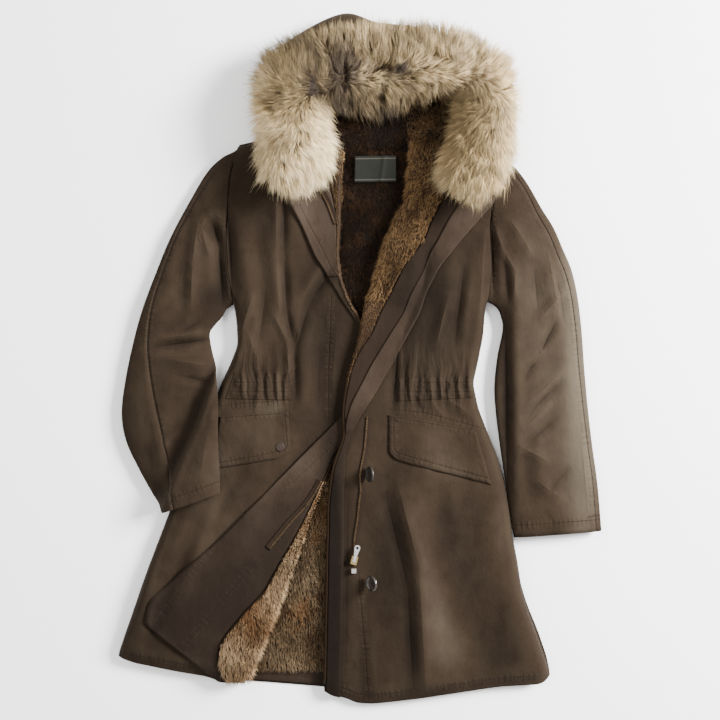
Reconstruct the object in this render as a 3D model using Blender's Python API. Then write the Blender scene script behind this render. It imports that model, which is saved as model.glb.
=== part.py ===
"""A fur trimmed parka, laid flat on its back with its fronts turned open.

The coat is built piece by piece, as it is cut and sewn: a back, two fronts that fold
back over themselves, their fur linings and cloth facings, two-piece sleeves, a hood with
a fur ruff, pocket flaps, gathered waist casings, a zip and its buttons.

Lengths are millimetres until a mesh is made. x runs across the coat, towards the wearer's
left, and a level is how far below the nape seam a point lies. "Right" and "left" are the
wearer's, so the right front has the smaller x.
"""
import math

import bmesh
import bpy
import numpy as np
from mathutils import Matrix, Vector
from mathutils.bvhtree import BVHTree

# --- cloth, in millimetres ---------------------------------------------------------
MM = 0.001
CLOTH = 1.5           # coat twill
HALF = CLOTH / 2
GAP = 0.3             # between pieces that touch
FUR = 11.5            # rabbit lining of the fronts, skin and hair
FUR_THIN = 4.0        # the lining's cut edge
BACK_FUR = 10.5       # the back's, pressed by what lies on it
FLAP_CLOTH = 2.4      # two plies, turned and pressed

# --- heights of the layers, at the middle of each wall ------------------------------
BACK_TOP = CLOTH
BACK_FUR_LOW = BACK_TOP + GAP
BACK_FUR_TOP = BACK_FUR_LOW + BACK_FUR
FRONT_FUR_LOW = BACK_FUR_TOP + GAP
FRONT_FULL = FRONT_FUR_LOW + FUR + GAP + HALF
EDGE_LOW = BACK_TOP + GAP + HALF

# --- placing -----------------------------------------------------------------------
NAPE_Y = 355.4        # the nape seam, up the coat from its middle
CENTRE_X = 0.845
CURL = 14.0           # how far in from the silhouette the front is rounded down
FOLD_RADIUS = 1.5     # middle of the wall, where a front folds back on itself
YOKE = 40.0           # above this level rows bend to the shoulder line
WAIST = 400.0         # below this level rows bend to the hem
HEM = 900.0           # the last row's nominal level
ARMPIT = 258.0
NECK_MIDDLE = 15.0
NECK_HALF = 75.0

# --- the hood ----------------------------------------------------------------------
HOOD_ROLL = 21.0      # radius of the hood's rolled outer edge
HOOD_RETURN = 42.0    # how far its opening edge lies back in from the roll
HOOD_FUR = 9.0

# --- zip and buttons ---------------------------------------------------------------
BUTTON = 27.0
BUTTON_THICK = 4.4
SNAP = 15.0
PULL_LENGTH = 27.0    # from the pin to the pull's round end
PULL_END = 4.9        # radius of that end
PULL_NECK = 2.3       # half the pull's width at its barrel
PULL_HOLE = 2.3       # radius of the hole in its end
PULL_THICK = 1.8
PIN = 1.8             # diameter of the slider's bridge pin
EYE = 2.6             # hole in the pull's barrel
BARREL = 4.6
SLIDER = (11.0, 15.0, 4.2)
PIN_RISE = 3.4        # the pin's axis above the slider's plate
PIN_LONG = 8.6
EAR = (1.5, 4.4, 6.6)  # the two lugs that carry the pin
EAR_OUT = 4.1
EAR_DROP = 2.1
BARREL_LONG = 5.6
PULL_TAPER = 7.0      # where the pull starts to widen, from its pin
STOP = (9.0, 9.0, 4.6)  # the retaining box at the foot of the zip
STOP_BELOW = 17.5     # its middle, from the slider's
SEAT = 0.4            # under the hard pieces
TOUCH = 0.8           # how near counts as lying under a loose piece


def columns(names, *rows):
    """A short table as named columns."""
    return {name: np.array(values, float) for name, values in zip(names.split(), zip(*rows))}


def read(table, name, at, key="level"):
    """A table's column, between its rows."""
    return np.interp(at, table[key], table[name])


# Side seams and armholes, below the nape.
SIDE_RIGHT = columns(
    "level x",
    (0, -203), (51, -216), (94, -221), (153, -225), (212, -221), (258, -212), (292, -207),
    (331, -205), (360, -216), (399, -234), (459, -256), (510, -277), (560, -297), (627, -322),
    (716, -353), (762, -368), (809, -382), (860, -397), (900, -408))
SIDE_LEFT = columns(
    "level x",
    (0, 240), (26, 234), (94, 224), (138, 219), (202, 223), (248, 218), (275, 213), (316, 210),
    (357, 202), (397, 193), (438, 202), (479, 218), (520, 235), (560, 246), (611, 255),
    (654, 260), (694, 268), (735, 274), (777, 286), (823, 303), (872, 318), (900, 324))

# The shoulder line and the neck, and the three hems.
NECK = columns(
    "x level",
    (-204, -8), (-145, -23), (-85, -38), (-60, -14), (-30, 0), (15, 5), (60, 0), (90, -16),
    (115, -38), (178, -17), (240, 5))
SHOULDER_RIGHT = columns("x level", (-204, -4), (-85, -33), (-60, -9), (-30, 5), (15, 10))
SHOULDER_LEFT = columns("x level", (15, 10), (60, 5), (90, -11), (115, -33), (240, 9))
HEM_BACK = columns(
    "x level",
    (-409, 855), (-379, 866), (-310, 880), (-256, 889), (-190, 901), (-100, 908), (-54, 912),
    (70, 916), (189, 909), (273, 899), (324, 882))
HEM_RIGHT = columns(
    "x level", (-409, 856), (-379, 867), (-310, 881), (-256, 890), (-232, 899), (-184, 901))
HEM_LEFT = columns(
    "x level",
    (-61, 912), (-50, 921), (-20, 928), (-5, 936), (20, 937), (103, 927), (170, 917),
    (238, 907), (307, 903), (317, 896), (324, 885))

# Each front: where it folds, how far it turns back over itself, how much of that shows
# its fur, how thick the fur is at the fold, and how far the front is held up by the
# other one. The band is where the wind flap starts.
FOLD_RIGHT = columns(
    "level fold turn strip fur lift",
    (0, -23, 141, 30, 5, 0), (64, -27, 105, 21, 5, 0), (97, -28, 87, 12, 4, 0),
    (139, -30, 64, 6, 2.5, 0), (181, -33, 42, 5, 2, 0), (223, -27, 21, 5, 2, 0),
    (260, -13, 13, 5, 2, 0), (286, 5, 12, 5, 2, 0), (332, 20, 12, 5, 2, 0),
    (382, 25, 12, 5, 2, 0), (409, 15, 12, 5, 2, 0), (429, 12, 19, 5, 2, 0),
    (454, -2, 30, 5, 2, 0), (482, -15, 45, 5, 2, 0), (516, -35, 59, 5, 2, 0),
    (558, -55, 82, 5, 2, 0), (608, -75, 110, 8, 3, 0), (658, -92, 142, 17, 5, 0),
    (700, -107, 167, 27, 7, 0), (742, -122, 194, 35, 8, 0), (779, -136, 215, 56, 9, 0),
    (824, -154, 207, 73, 9, 0), (845, -163, 165, 71, 9, 0), (868, -171, 120, 62, 9, 0),
    (885, -178, 83, 49, 9, 0), (900, -184, 50, 31, 9, 0))
FOLD_LEFT = columns(
    "level fold turn strip fur lift band",
    (0, 84, 160, 70, 9, 0, 80), (31, 80, 160, 70, 9, 0, 84), (64, 76, 158, 68, 9, 0, 90),
    (93, 71, 156, 66, 9, 0, 98), (121, 52, 150, 69, 9, 0, 98), (157, 38, 132, 69, 9, 0, 94),
    (200, 27, 109, 47, 9, 0, 82), (246, 12, 101, 40, 8, 0.2, 74),
    (276, 5, 99, 30, 2.6, 1, 69), (312, -1, 86, 22, 2, 1, 54), (341, -9, 77, 9, 2, 1, 44),
    (370, -18, 68, 5, 2, 1, 36), (399, -24, 60, 5, 2, 1, 27), (427, -29, 46, 5, 2, 1, 17),
    (455, -30, 28, 5, 2, 1, 9), (474, -28, 17, 5, 2, 1, 6), (487, -30, 13, 5, 2, 1, 6),
    (516, -42, 18, 5, 2, 1, 6), (537, -48, 24, 5, 2, 1, 6), (591, -55, 28, 5, 2, 0.3, 6),
    (640, -56, 29, 5, 2, 0, 6), (691, -58, 29, 5, 2, 0, 6), (741, -59, 29, 5, 2, 0, 6),
    (791, -60, 29, 5, 2, 0, 6), (840, -60, 29, 5, 2, 0, 6), (872, -60, 29, 5, 2, 0, 6),
    (890, -61, 29, 5, 2, 0, 6), (900, -61, 29, 5, 2, 0, 6))
HEM_REACH = 26.0      # how far up a front its pressed hem is felt
HEM_LOW = 7.0         # what stays of its height above the edge, before pressing
HEM_PRESS = 0.55
THIN_ZONE = 60.0      # width beside an unlined front edge, where only the facing is
THIN_RAMP = 52.0
SETTLED = 2.0         # thickness there
FULL_ROLL = 9.0       # fur at a fold that shows it

# The largest folds of each front: a soft ridge from one point to another.
RIDGES_RIGHT = columns(
    "x0 level0 x1 level1 width height",
    (-150, 140, -138, 350, 16, 4.5), (-96, 235, -100, 350, 14, 3.5),
    (-192, 130, -176, 330, 15, 3.5), (-262, 575, -318, 700, 20, 4.0),
    (-345, 700, -372, 850, 13, 3.0), (-152, 470, -186, 555, 20, 2.5))
RIDGES_LEFT = columns(
    "x0 level0 x1 level1 width height",
    (194, 170, 164, 350, 15, 4.0), (158, 250, 128, 350, 14, 3.5),
    (92, 590, 118, 880, 24, 4.5), (190, 600, 236, 860, 24, 4.5),
    (30, 780, 34, 925, 18, 3.0))


def smooth(value):
    """0 below 0, 1 above 1, and a soft step between."""
    value = np.clip(value, 0.0, 1.0)
    return value * value * (3.0 - 2.0 * value)


def curl(depth, reach=CURL):
    """Height of a rounded edge, from 0 at the silhouette to 1 at its reach."""
    inner = 1.0 - np.clip(depth / reach, 0.0, 1.0)
    return np.sqrt(1.0 - inner * inner)


def near_neck(x):
    """1 where the neck is cut, 0 out along the shoulders."""
    return smooth(1.0 - (np.abs(x - NECK_MIDDLE) - NECK_HALF) / 30.0)


def bend(level, x, top, hem):
    """The real level of a row: the top and hem rows follow their outlines."""
    over = read(top, "level", x, "x")
    under = read(hem, "level", x, "x")
    yoke = over + (YOKE - over) * level / YOKE
    skirt = WAIST + (level - WAIST) * (under - WAIST) / (HEM - WAIST)
    return np.where(level < YOKE, yoke, np.where(level > WAIST, skirt, level))


def place(x, level, z):
    """Points in metres, from x, level and height in millimetres."""
    return np.stack([x - CENTRE_X, NAPE_Y - level, z + 0.0 * x], axis=-1) * MM


def catmull(rows, steps):
    """Rows of numbers on a smooth curve through the given rows."""
    rows = np.asarray(rows, float)
    padded = np.vstack([2 * rows[0] - rows[1], rows, 2 * rows[-1] - rows[-2]])
    found = []
    for i in range(len(rows) - 1):
        a, b, c, d = padded[i:i + 4]
        for t in np.arange(steps) / steps:
            found.append(0.5 * (2 * b + (c - a) * t + (2 * a - 5 * b + 4 * c - d) * t ** 2
                                + (3 * b - a - 3 * c + d) * t ** 3))
    found.append(rows[-1])
    return np.array(found)


# --- finishes ----------------------------------------------------------------------
FINISHES = {
    "twill": ((0.085, 0.062, 0.043), 0.86, 0.0),
    "facing": ((0.105, 0.078, 0.056), 0.86, 0.0),
    "lining fur": ((0.21, 0.115, 0.055), 0.9, 0.0),
    "ruff fur": ((0.62, 0.50, 0.38), 0.9, 0.0),
    "label": ((0.06, 0.068, 0.06), 0.7, 0.0),
    "horn": ((0.012, 0.010, 0.009), 0.22, 0.0),
    "brass": ((0.55, 0.40, 0.19), 0.32, 1.0),
    "nickel": ((0.68, 0.67, 0.65), 0.26, 1.0),
    "tape": ((0.045, 0.034, 0.025), 0.8, 0.0),
}


def finish(name):
    """The Principled material of one finish, made once."""
    known = bpy.data.materials.get(name)
    if known:
        return known
    colour, roughness, metallic = FINISHES[name]
    made = bpy.data.materials.new(name)
    made.use_nodes = True
    shader = made.node_tree.nodes["Principled BSDF"]
    shader.inputs["Base Color"].default_value = (*colour, 1.0)
    shader.inputs["Roughness"].default_value = roughness
    shader.inputs["Metallic"].default_value = metallic
    return made


class Coat:
    """The collection of pieces, and the ground that later pieces are laid on."""

    def __init__(self, name):
        self.collection = bpy.data.collections.new(name)
        bpy.context.scene.collection.children.link(self.collection)
        self.cutters = bpy.data.collections.new("cutters")
        bpy.context.scene.collection.children.link(self.cutters)
        self.trees = []

    def add(self, name, points, faces, material):
        """One named piece from points in metres, with its faces turned outwards."""
        mesh = bpy.data.meshes.new(name)
        mesh.from_pydata([tuple(p) for p in points], [], [tuple(f) for f in faces])
        shape = bmesh.new()
        shape.from_mesh(mesh)
        bmesh.ops.recalc_face_normals(shape, faces=shape.faces)
        shape.to_mesh(mesh)
        shape.free()
        piece = bpy.data.objects.new(name, mesh)
        self.collection.objects.link(piece)
        mesh.materials.append(finish(material))
        mesh.shade_smooth()
        mesh.set_sharp_from_angle(angle=math.radians(50))
        self.trees.append(BVHTree.FromPolygons([Vector(p) for p in points],
                                               [tuple(f) for f in faces]))

    def top(self, points, reach):
        """Highest solid under each point or within reach of it, in metres; 0 is the floor."""
        ring = [(0, 0)] + [(reach * MM * math.cos(a), reach * MM * math.sin(a))
                           for a in np.arange(8) * math.pi / 4]
        ring += [(0.5 * dx, 0.5 * dy) for dx, dy in ring[1:]]
        flat = np.asarray(points, float).reshape(-1, 3)
        found = np.zeros(len(flat))
        for i, point in enumerate(flat):
            for dx, dy in ring:
                start = Vector((point[0] + dx, point[1] + dy, 1.0))
                for tree in self.trees:
                    hit = tree.ray_cast(start, Vector((0, 0, -1)))[0]
                    if hit is not None:
                        found[i] = max(found[i], hit.z)
        return found.reshape(np.asarray(points).shape[:-1])

    def wall(self, name, outer, inner, material):
        """A closed wall between two grids of points, rows by columns."""
        rows, across = outer.shape[:2]
        index = np.arange(rows * across).reshape(rows, across)
        a, b = index[:-1, :-1].ravel(), index[:-1, 1:].ravel()
        c, d = index[1:, 1:].ravel(), index[1:, :-1].ravel()
        skin = np.concatenate([np.stack([a, b, c], 1), np.stack([a, c, d], 1)])
        shift = rows * across
        loop = np.concatenate([index[0, :-1], index[:-1, -1], index[-1, :0:-1], index[:0:-1, 0]])
        after = np.roll(loop, -1)
        rim = np.concatenate([np.stack([loop, loop + shift, after + shift], 1),
                              np.stack([loop, after + shift, after], 1)])
        faces = np.concatenate([skin, skin[:, ::-1] + shift, rim])
        points = np.concatenate([outer.reshape(-1, 3), inner.reshape(-1, 3)])
        self.add(name, points, faces, material)

    def tube(self, name, rings, material):
        """A closed solid through rings of points, with fans at its ends."""
        count, around = rings.shape[:2]
        index = np.arange(count * around).reshape(count, around)
        near, far = index[:-1], index[1:]
        a, b = near.ravel(), np.roll(near, -1, axis=1).ravel()
        c, d = np.roll(far, -1, axis=1).ravel(), far.ravel()
        faces = [np.stack([a, b, c], 1), np.stack([a, c, d], 1)]
        points = [rings.reshape(-1, 3)]
        for end, ring in ((0, index[0]), (1, index[-1])):
            middle = count * around + end
            points.append(rings[-end].mean(axis=0, keepdims=True))
            faces.append(np.stack([ring, np.roll(ring, -1), np.full(around, middle)], 1))
        self.add(name, np.concatenate(points), np.concatenate(faces), material)


class Front:
    """A front's shell, from the side seam to the fold and back over itself.

    points are the middle of the wall, normals point out of the cloth's right side, and
    each further ply is the same points moved along the normals.
    """

    RUN = (0.0, 0.12, 0.24, 0.36, 0.49, 0.62, 0.75, 0.88, 1.0)
    EDGE = (0.0, 2.0, 6.0)
    ARC = (45.0, 90.0, 135.0)

    def __init__(self, toward, side, fold, top, hem, ridges, rows, turned):
        self.toward, self.side, self.fold = toward, side, fold
        self.top, self.hem, self.ridges = top, hem, ridges
        self.rows = np.array(rows, float)
        self.turned = turned
        self.build()

    def value(self, name):
        """A column of the fold table at each row."""
        return read(self.fold, name, self.rows)[:, None]

    def thickness(self, x):
        """How thick the lining is under the shell."""
        fur = self.value("fur")
        thin = THIN_ZONE * np.clip((FULL_ROLL - fur) / (FULL_ROLL - SETTLED), 0, 1)
        away = np.abs(x - self.start)
        return fur + (FUR - fur) * smooth((away - thin) / THIN_RAMP)

    def lifted(self, x, level):
        """What the soft ridges add to the height."""
        extra = 0.0 * x
        for x0, l0, x1, l1, width, height in zip(*self.ridges.values()):
            along = np.clip(((x - x0) * (x1 - x0) + (level - l0) * (l1 - l0))
                            / ((x1 - x0) ** 2 + (l1 - l0) ** 2), 0, 1)
            away = np.hypot(x - x0 - along * (x1 - x0), level - l0 - along * (l1 - l0))
            extra = extra + height * np.exp(-(away / width) ** 2) * np.sin(
                math.pi * (0.12 + 0.76 * along))
        return extra

    def height(self, x, level):
        """Height of the middle of the shell where it lies on its lining."""
        lift = self.value("lift")
        settled = FRONT_FUR_LOW + self.thickness(x) + GAP + HALF
        z = settled + (FRONT_FULL - settled) * lift + self.lifted(x, level)
        hem_room = read(self.hem, "level", x, "x") - level
        z = z - (z - EDGE_LOW - HEM_LOW) * HEM_PRESS * (1 - smooth(hem_room / HEM_REACH))
        closed = smooth((self.rows[:, None] - ARMPIT + 16) / 32.0)
        depth = np.abs(x - read(self.side, "x", self.rows)[:, None])
        z = z - closed * (z - EDGE_LOW) * (1 - curl(depth))
        shoulder = level - read(self.top, "level", x, "x")
        lowest = EDGE_LOW + (FRONT_FUR_LOW + CLOTH - EDGE_LOW) * near_neck(x)
        return z - (z - lowest) * (1 - curl(shoulder, CURL + 2))

    def surface(self, x):
        """Points and upward normals of the lower run at the given places across."""
        rows = self.rows[:, None] + 0.0 * x
        level = bend(rows, x, self.top, self.hem)
        step = 0.4
        z = self.height(x, level)
        slope_x = (self.height(x + step, level) - self.height(x - step, level)) / (2 * step)
        slope_l = (self.height(x, level + step) - self.height(x, level - step)) / (2 * step)
        normal = np.stack([-slope_x, slope_l, np.ones_like(z)], axis=-1)
        normal /= np.linalg.norm(normal, axis=-1, keepdims=True)
        return np.stack([x, -level, z], axis=-1), normal

    def build(self):
        """The whole grid of shell points and normals."""
        side = read(self.side, "x", self.rows)[:, None] + self.toward * HALF
        outermost = self.value("fold")
        turn_in = FOLD_RADIUS + HALF + GAP + self.value("fur")
        self.start = outermost - self.toward * turn_in
        edge = side + self.toward * np.array(self.EDGE)[None, :]
        inner = side + self.toward * CURL
        run = inner + (self.start - inner) * np.array(self.RUN)[None, :]
        low, up = self.surface(np.hstack([edge, run]))
        fold_low, fold_up = low[:, -1:], up[:, -1:]
        angle = np.radians(self.ARC)[None, :, None]
        outward = np.array([self.toward, 0.0, 0.0])
        arc_normal = fold_up * np.cos(angle) - outward * np.sin(angle)
        arc = fold_low + FOLD_RADIUS * (fold_up - arc_normal)
        back = np.hstack([self.start] + [outermost - self.toward * d for d in self.turned(self)])
        over, over_up = self.surface(back)
        over = over + 2 * FOLD_RADIUS * over_up
        self.points = np.concatenate([low, arc, over], axis=1)
        self.normals = np.concatenate([up, arc_normal, -over_up], axis=1)
        self.lower = low.shape[1]
        self.first = len(self.EDGE)
        self.upper = self.lower + len(self.ARC)
        fur = self.value("fur")
        pile = fur + (FULL_ROLL - fur) * smooth((self.value("strip") - 6.0) / 14.0)
        bottom = FRONT_FUR_LOW + self.value("lift") * (FRONT_FULL - FRONT_FUR_LOW - GAP - HALF
                                                       - self.thickness(low[..., 0]))
        self.fur = np.concatenate(
            [np.maximum(low[..., 2] - HALF - GAP - bottom, 1.0), fur + 0.0 * arc[..., 0],
             0.5 * (fur + pile), pile + 0.0 * over[:, 1:, 0]], axis=1)

    def ply(self, near, far, across, rows=slice(None)):
        """Two grids of points, the given distances out from the middle of the shell."""
        def moved(distance):
            shift = np.asarray(distance, float) + 0.0 * self.points[..., 0]
            grid = self.points + self.normals * shift[..., None]
            return grid[rows, across]
        grids = []
        for distance in (near, far):
            grid = moved(distance)
            grids.append(place(grid[..., 0], -grid[..., 1], grid[..., 2]))
        return grids


def right_turned(front):
    """Where the right front's turned back part has its columns, in from the fold."""
    turn, strip = front.value("turn"), front.value("strip")
    least = FOLD_RADIUS + HALF + GAP + front.value("fur")
    yield least + 0.5 * (strip - least)
    yield strip
    for part in (0.02, 0.25, 0.5, 0.75, 1.0):
        yield strip + part * (turn - strip)


def left_turned(front):
    """The same for the left front, with a column where the wind flap starts."""
    turn, strip, band = front.value("turn"), front.value("strip"), front.value("band")
    least = FOLD_RADIUS + HALF + GAP + front.value("fur")
    yield least + 0.5 * (strip - least)
    yield strip
    yield strip + 0.02 * (turn - strip) + 0.3
    yield np.maximum(strip + 0.02 * (turn - strip) + 0.6, 0.5 * (strip + band))
    yield np.maximum(strip + 0.02 * (turn - strip) + 0.9, band)
    yield 0.5 * (np.maximum(strip + 0.02 * (turn - strip) + 0.9, band) + turn)
    yield turn


def gapped(grid, first=0.0, last=0.0):
    """A grid whose first and last columns are drawn in by so many millimetres."""
    grid = grid.copy()
    for end, inner, amount in ((0, 1, first), (-1, -2, last)):
        step = grid[:, inner] - grid[:, end]
        length = np.linalg.norm(step, axis=-1, keepdims=True)
        grid[:, end] += step / length * np.minimum(amount * MM, 0.45 * length)
    return grid


def make_back(coat):
    """The back panel, flat on the floor, with its fur lining and hem facing on it."""
    part = (NECK["x"] - NECK["x"][0]) / (NECK["x"][-1] - NECK["x"][0])
    rows = np.array([0, 40, 94, 138, 170, 212, 258, 331, 360, 399, 459, 560, 654, 735, 820,
                     900.0])[:, None]
    left, right = read(SIDE_RIGHT, "x", rows), read(SIDE_LEFT, "x", rows)
    x = left + (right - left) * part[None, :]
    level = bend(rows + 0 * x, x, NECK, HEM_BACK)
    flat = np.zeros_like(x)
    coat.wall("back", place(x, level, flat), place(x, level, flat + CLOTH), "twill")

    rows = np.array([0, 40, 120, 212, 270, 331, 370, 420, 520, 620, 700, 780, 872.0])[:, None]
    inset = CURL - 1.0
    left = read(SIDE_RIGHT, "x", rows) + inset
    right = read(SIDE_LEFT, "x", rows) - inset
    part = np.array([0, 0.1, 0.25, 0.38, 0.44, 0.5, 0.56, 0.62, 0.68, 0.8, 0.92, 1.0])
    x = left + (right - left) * part[None, :]
    shoulder = 20.0 - 18.0 * near_neck(x)
    level = bend(rows + 0 * x, x, NECK, HEM_BACK)
    level = np.where(rows < 1, read(NECK, "level", x, "x") + shoulder, level)
    low = place(x, level, 0 * x + BACK_FUR_LOW)
    coat.wall("lining_back", low, place(x, level, 0 * x + BACK_FUR_TOP), "lining fur")

    x = np.linspace(SIDE_RIGHT["x"][-1] + CURL + 4, SIDE_LEFT["x"][-1] - CURL - 8, 13)[None, :]
    hem = read(HEM_BACK, "level", x, "x")
    top = WAIST + (rows[-1] - WAIST) * (hem - WAIST) / (HEM - WAIST) + 1.6
    level = np.vstack([top, hem - 3.0])
    x = x + 0 * level
    low = place(x, level, 0 * x + BACK_FUR_LOW)
    coat.wall("hem_facing_back", low, place(x, level, 0 * x + BACK_FUR_LOW + 2.0), "facing")


RIGHT_ROWS = (0, 6, 18, 64, 97, 139, 181, 223, 260, 286, 332, 382, 409, 454, 482, 516, 558,
              608, 658, 700, 742, 779, 824, 868, 885, 900)
LEFT_ROWS = (0, 6, 18, 64, 93, 121, 157, 200, 246, 276, 312, 341, 370, 399, 427, 455, 487,
             516, 537, 591, 640, 741, 791, 840, 882, 900)


def row_slice(front, first, last):
    """The rows of a front between two nominal levels."""
    inside = np.nonzero((front.rows >= first) & (front.rows <= last))[0]
    return slice(inside[0], inside[-1] + 1)


def make_fronts(coat):
    """Both fronts, with the plies that are sewn inside them and turned out with them."""
    right = Front(1.0, SIDE_RIGHT, FOLD_RIGHT, SHOULDER_RIGHT, HEM_RIGHT, RIDGES_RIGHT,
                  RIGHT_ROWS, right_turned)
    left = Front(-1.0, SIDE_LEFT, FOLD_LEFT, SHOULDER_LEFT, HEM_LEFT, RIDGES_LEFT,
                 LEFT_ROWS, left_turned)
    under = HALF + GAP
    for front, name in ((right, "right"), (left, "left")):
        coat.wall("front_" + name, *front.ply(HALF, -HALF, slice(None)), "twill")
        strip = front.upper + 2
        fur = front.fur.copy()
        fur[:, strip] = np.minimum(fur[:, strip], FUR_THIN)
        near, far = front.ply(-under, -under - fur, slice(front.first, strip + 1),
                              row_slice(front, 18, 885))
        coat.wall("lining_front_" + name, gapped(near, 2, 0.3), gapped(far, 2, 0.3),
                  "lining fur")

    strip = right.upper + 3
    for name, first, last in (("upper", 6, 223), ("lower", 409, 900)):
        near, far = right.ply(-under, -under - CLOTH, slice(strip, None),
                              row_slice(right, first, last))
        coat.wall("facing_right_" + name, gapped(near, 0.3), gapped(far, 0.3), "facing")

    near, far = left.ply(-under, -under - CLOTH, slice(left.upper + 3, None),
                         row_slice(left, 6, 455))
    coat.wall("facing_left", gapped(near, 0.3), gapped(far, 0.3), "facing")

    over = (under + CLOTH + GAP) * np.ones_like(left.points[..., 0])
    over[left.rows > 500] = under
    near, far = left.ply(-over, -over - CLOTH, slice(left.upper + 5, None),
                         row_slice(left, 18, 900))
    coat.wall("wind_flap_left", near, far, "facing")


# Sleeve stations from the armhole to the cuff: the two ends of a line across the flat
# sleeve, how high it stands, and where the elbow seam crosses, as a part of the width.
SLEEVE_RIGHT = columns(
    "outer_x outer_level inner_x inner_level height seam",
    (-204, -3, -212, 262, 24.9, 0.14), (-250, 33, -217, 266, 25.5, 0.14),
    (-286, 91, -224, 271, 26, 0.14), (-319, 154, -231, 283, 27, 0.14),
    (-344, 215, -243, 297, 28, 0.14), (-365, 272, -252, 311, 29, 0.15),
    (-380, 326, -250, 334, 28, 0.19), (-393, 387, -240, 378, 27, 0.28),
    (-400, 445, -235, 424, 27, 0.36), (-393, 492, -235, 474, 26, 0.4),
    (-373, 536, -234, 517, 26, 0.38), (-349, 580, -232, 550, 25, 0.3),
    (-328, 612, -232, 579, 24, 0.22))
SLEEVE_LEFT = columns(
    "outer_x outer_level inner_x inner_level height seam",
    (247, 12, 218, 258, 24.9, 0.14), (281, 55, 221, 260, 25.5, 0.14),
    (307, 100, 225, 262, 26, 0.15), (328, 134, 229, 265, 26.5, 0.15),
    (344, 171, 234, 270, 27, 0.15), (358, 205, 239, 280, 28, 0.15),
    (368, 249, 243, 306, 28, 0.14), (375, 306, 234, 352, 27, 0.14),
    (380, 374, 229, 404, 26, 0.14), (386, 440, 232, 450, 26, 0.14),
    (393, 500, 240, 512, 26, 0.14), (402, 565, 250, 578, 25, 0.14),
    (409, 645, 262, 656, 24, 0.14))
SLEEVE_TOP = (0.2, 0.36, 0.52, 0.68, 0.82, 0.94)
SLEEVE_UNDER = (0.94, 0.82, 0.66, 0.5, 0.34, 0.18, 0.06)
SLEEVE_EDGE = (0.03, 0.1)
SLEEVE_ROUND = 2.6
SLEEVE_STEPS = np.array([0, 1, 2, 3, 4, 5, 6, 7, 7.5, 8, 8.5, 9, 9.5, 10, 10.5, 11, 11.5, 12])
SKIRT_RIGHT = 6.6     # from this station on the sleeve lies over the skirt
SKIRT_LEFT = 99.0     # this sleeve lies beside it


def sleeve_rings(coat, table, side, toward, skirt):
    """Rings of points round a flat sleeve, at the middle of its wall."""
    names = ("outer_x", "outer_level", "inner_x", "inner_level", "height", "seam")
    grid = catmull(np.stack([table[name] for name in names], 1), 2)
    at = np.arange(len(grid)) / 2
    ox, ol, ix, il, height, seam = (np.interp(SLEEVE_STEPS, at, grid[:, i])[:, None]
                                    for i in range(6))
    edge = np.array(SLEEVE_EDGE)[None, :]
    top = seam + (1 - seam) * np.array(SLEEVE_TOP)[None, :]
    ones = np.ones_like(seam)
    across = np.hstack([0 * ones, edge * ones, seam, top, ones,
                        np.array(SLEEVE_UNDER)[None, :] * ones])
    upper = 1 + len(SLEEVE_EDGE) + 1 + len(SLEEVE_TOP)
    sign = np.where(np.arange(across.shape[1]) <= upper, 1.0, -1.0)
    rise = sign * np.sqrt(np.maximum(0, 1 - np.abs(2 * across - 1) ** SLEEVE_ROUND))
    x = ox + (ix - ox) * across
    level = ol + (il - ol) * across
    armhole = read(side, "x", np.clip(level, 0, ARMPIT)) - toward * 0.8
    decay = np.clip(1 - SLEEVE_STEPS / 3.5, 0, 1)[:, None]
    near = toward * (armhole - x)
    bulge = np.where(SLEEVE_STEPS[:, None] < 0.1, armhole - x, toward * np.minimum(near, 0))
    x = x + bulge * np.where(SLEEVE_STEPS[:, None] < 0.1, 1.0, decay)
    flat = place(x, level, 0 * x)
    base = coat.top(flat, 13.0) / MM
    base = np.where(SLEEVE_STEPS[:, None] < skirt, 0.0, base)
    base = np.where(base > 0, base + 0.6, 0.0)
    eased = base.copy()
    for _ in range(2):
        eased = 0.5 * eased + 0.25 * (np.roll(eased, 1, axis=1) + np.roll(eased, -1, axis=1))
    lift = np.where(sign > 0, np.maximum(eased, base), base)
    middle = (height - CLOTH) / 2
    z = lift + HALF + middle * (1 + rise)
    return np.stack([x, -level, z], axis=-1)


def ring_normals(rings):
    """Outward normals of rings that close round a tube."""
    around = np.roll(rings, -1, axis=1) - np.roll(rings, 1, axis=1)
    along = np.gradient(rings, axis=0)
    normal = np.cross(around, along)
    normal /= np.linalg.norm(normal, axis=-1, keepdims=True)
    centre = rings.mean(axis=1, keepdims=True)
    facing = np.sign(np.sum(normal * (rings - centre), axis=(1, 2)))
    return normal * facing[:, None, None]


def make_sleeve(coat, name, table, side, toward, skirt):
    """A two-piece sleeve: the top sleeve, and the under sleeve round its outer edge."""
    rings = sleeve_rings(coat, table, side, toward, skirt)
    normals = ring_normals(rings)
    seam = 1 + len(SLEEVE_EDGE)
    inner_edge = seam + len(SLEEVE_TOP) + 1
    count = rings.shape[1]
    pieces = (("top", np.arange(seam, inner_edge + 1)),
              ("under", np.arange(inner_edge, count + seam + 1) % count))
    made = []
    for piece, pick in pieces:
        grids = []
        for distance in (HALF, -HALF):
            grid = rings[:, pick] + distance * normals[:, pick]
            if distance > 0:
                grid[..., 2] = np.maximum(grid[..., 2], 0.0)
            grids.append(gapped(place(grid[..., 0], -grid[..., 1], grid[..., 2]), 0.25, 0.25))
        made.append((f"sleeve_{name}_{piece}", grids))
    for piece_name, grids in made:
        coat.wall(piece_name, *grids, "twill")


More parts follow.
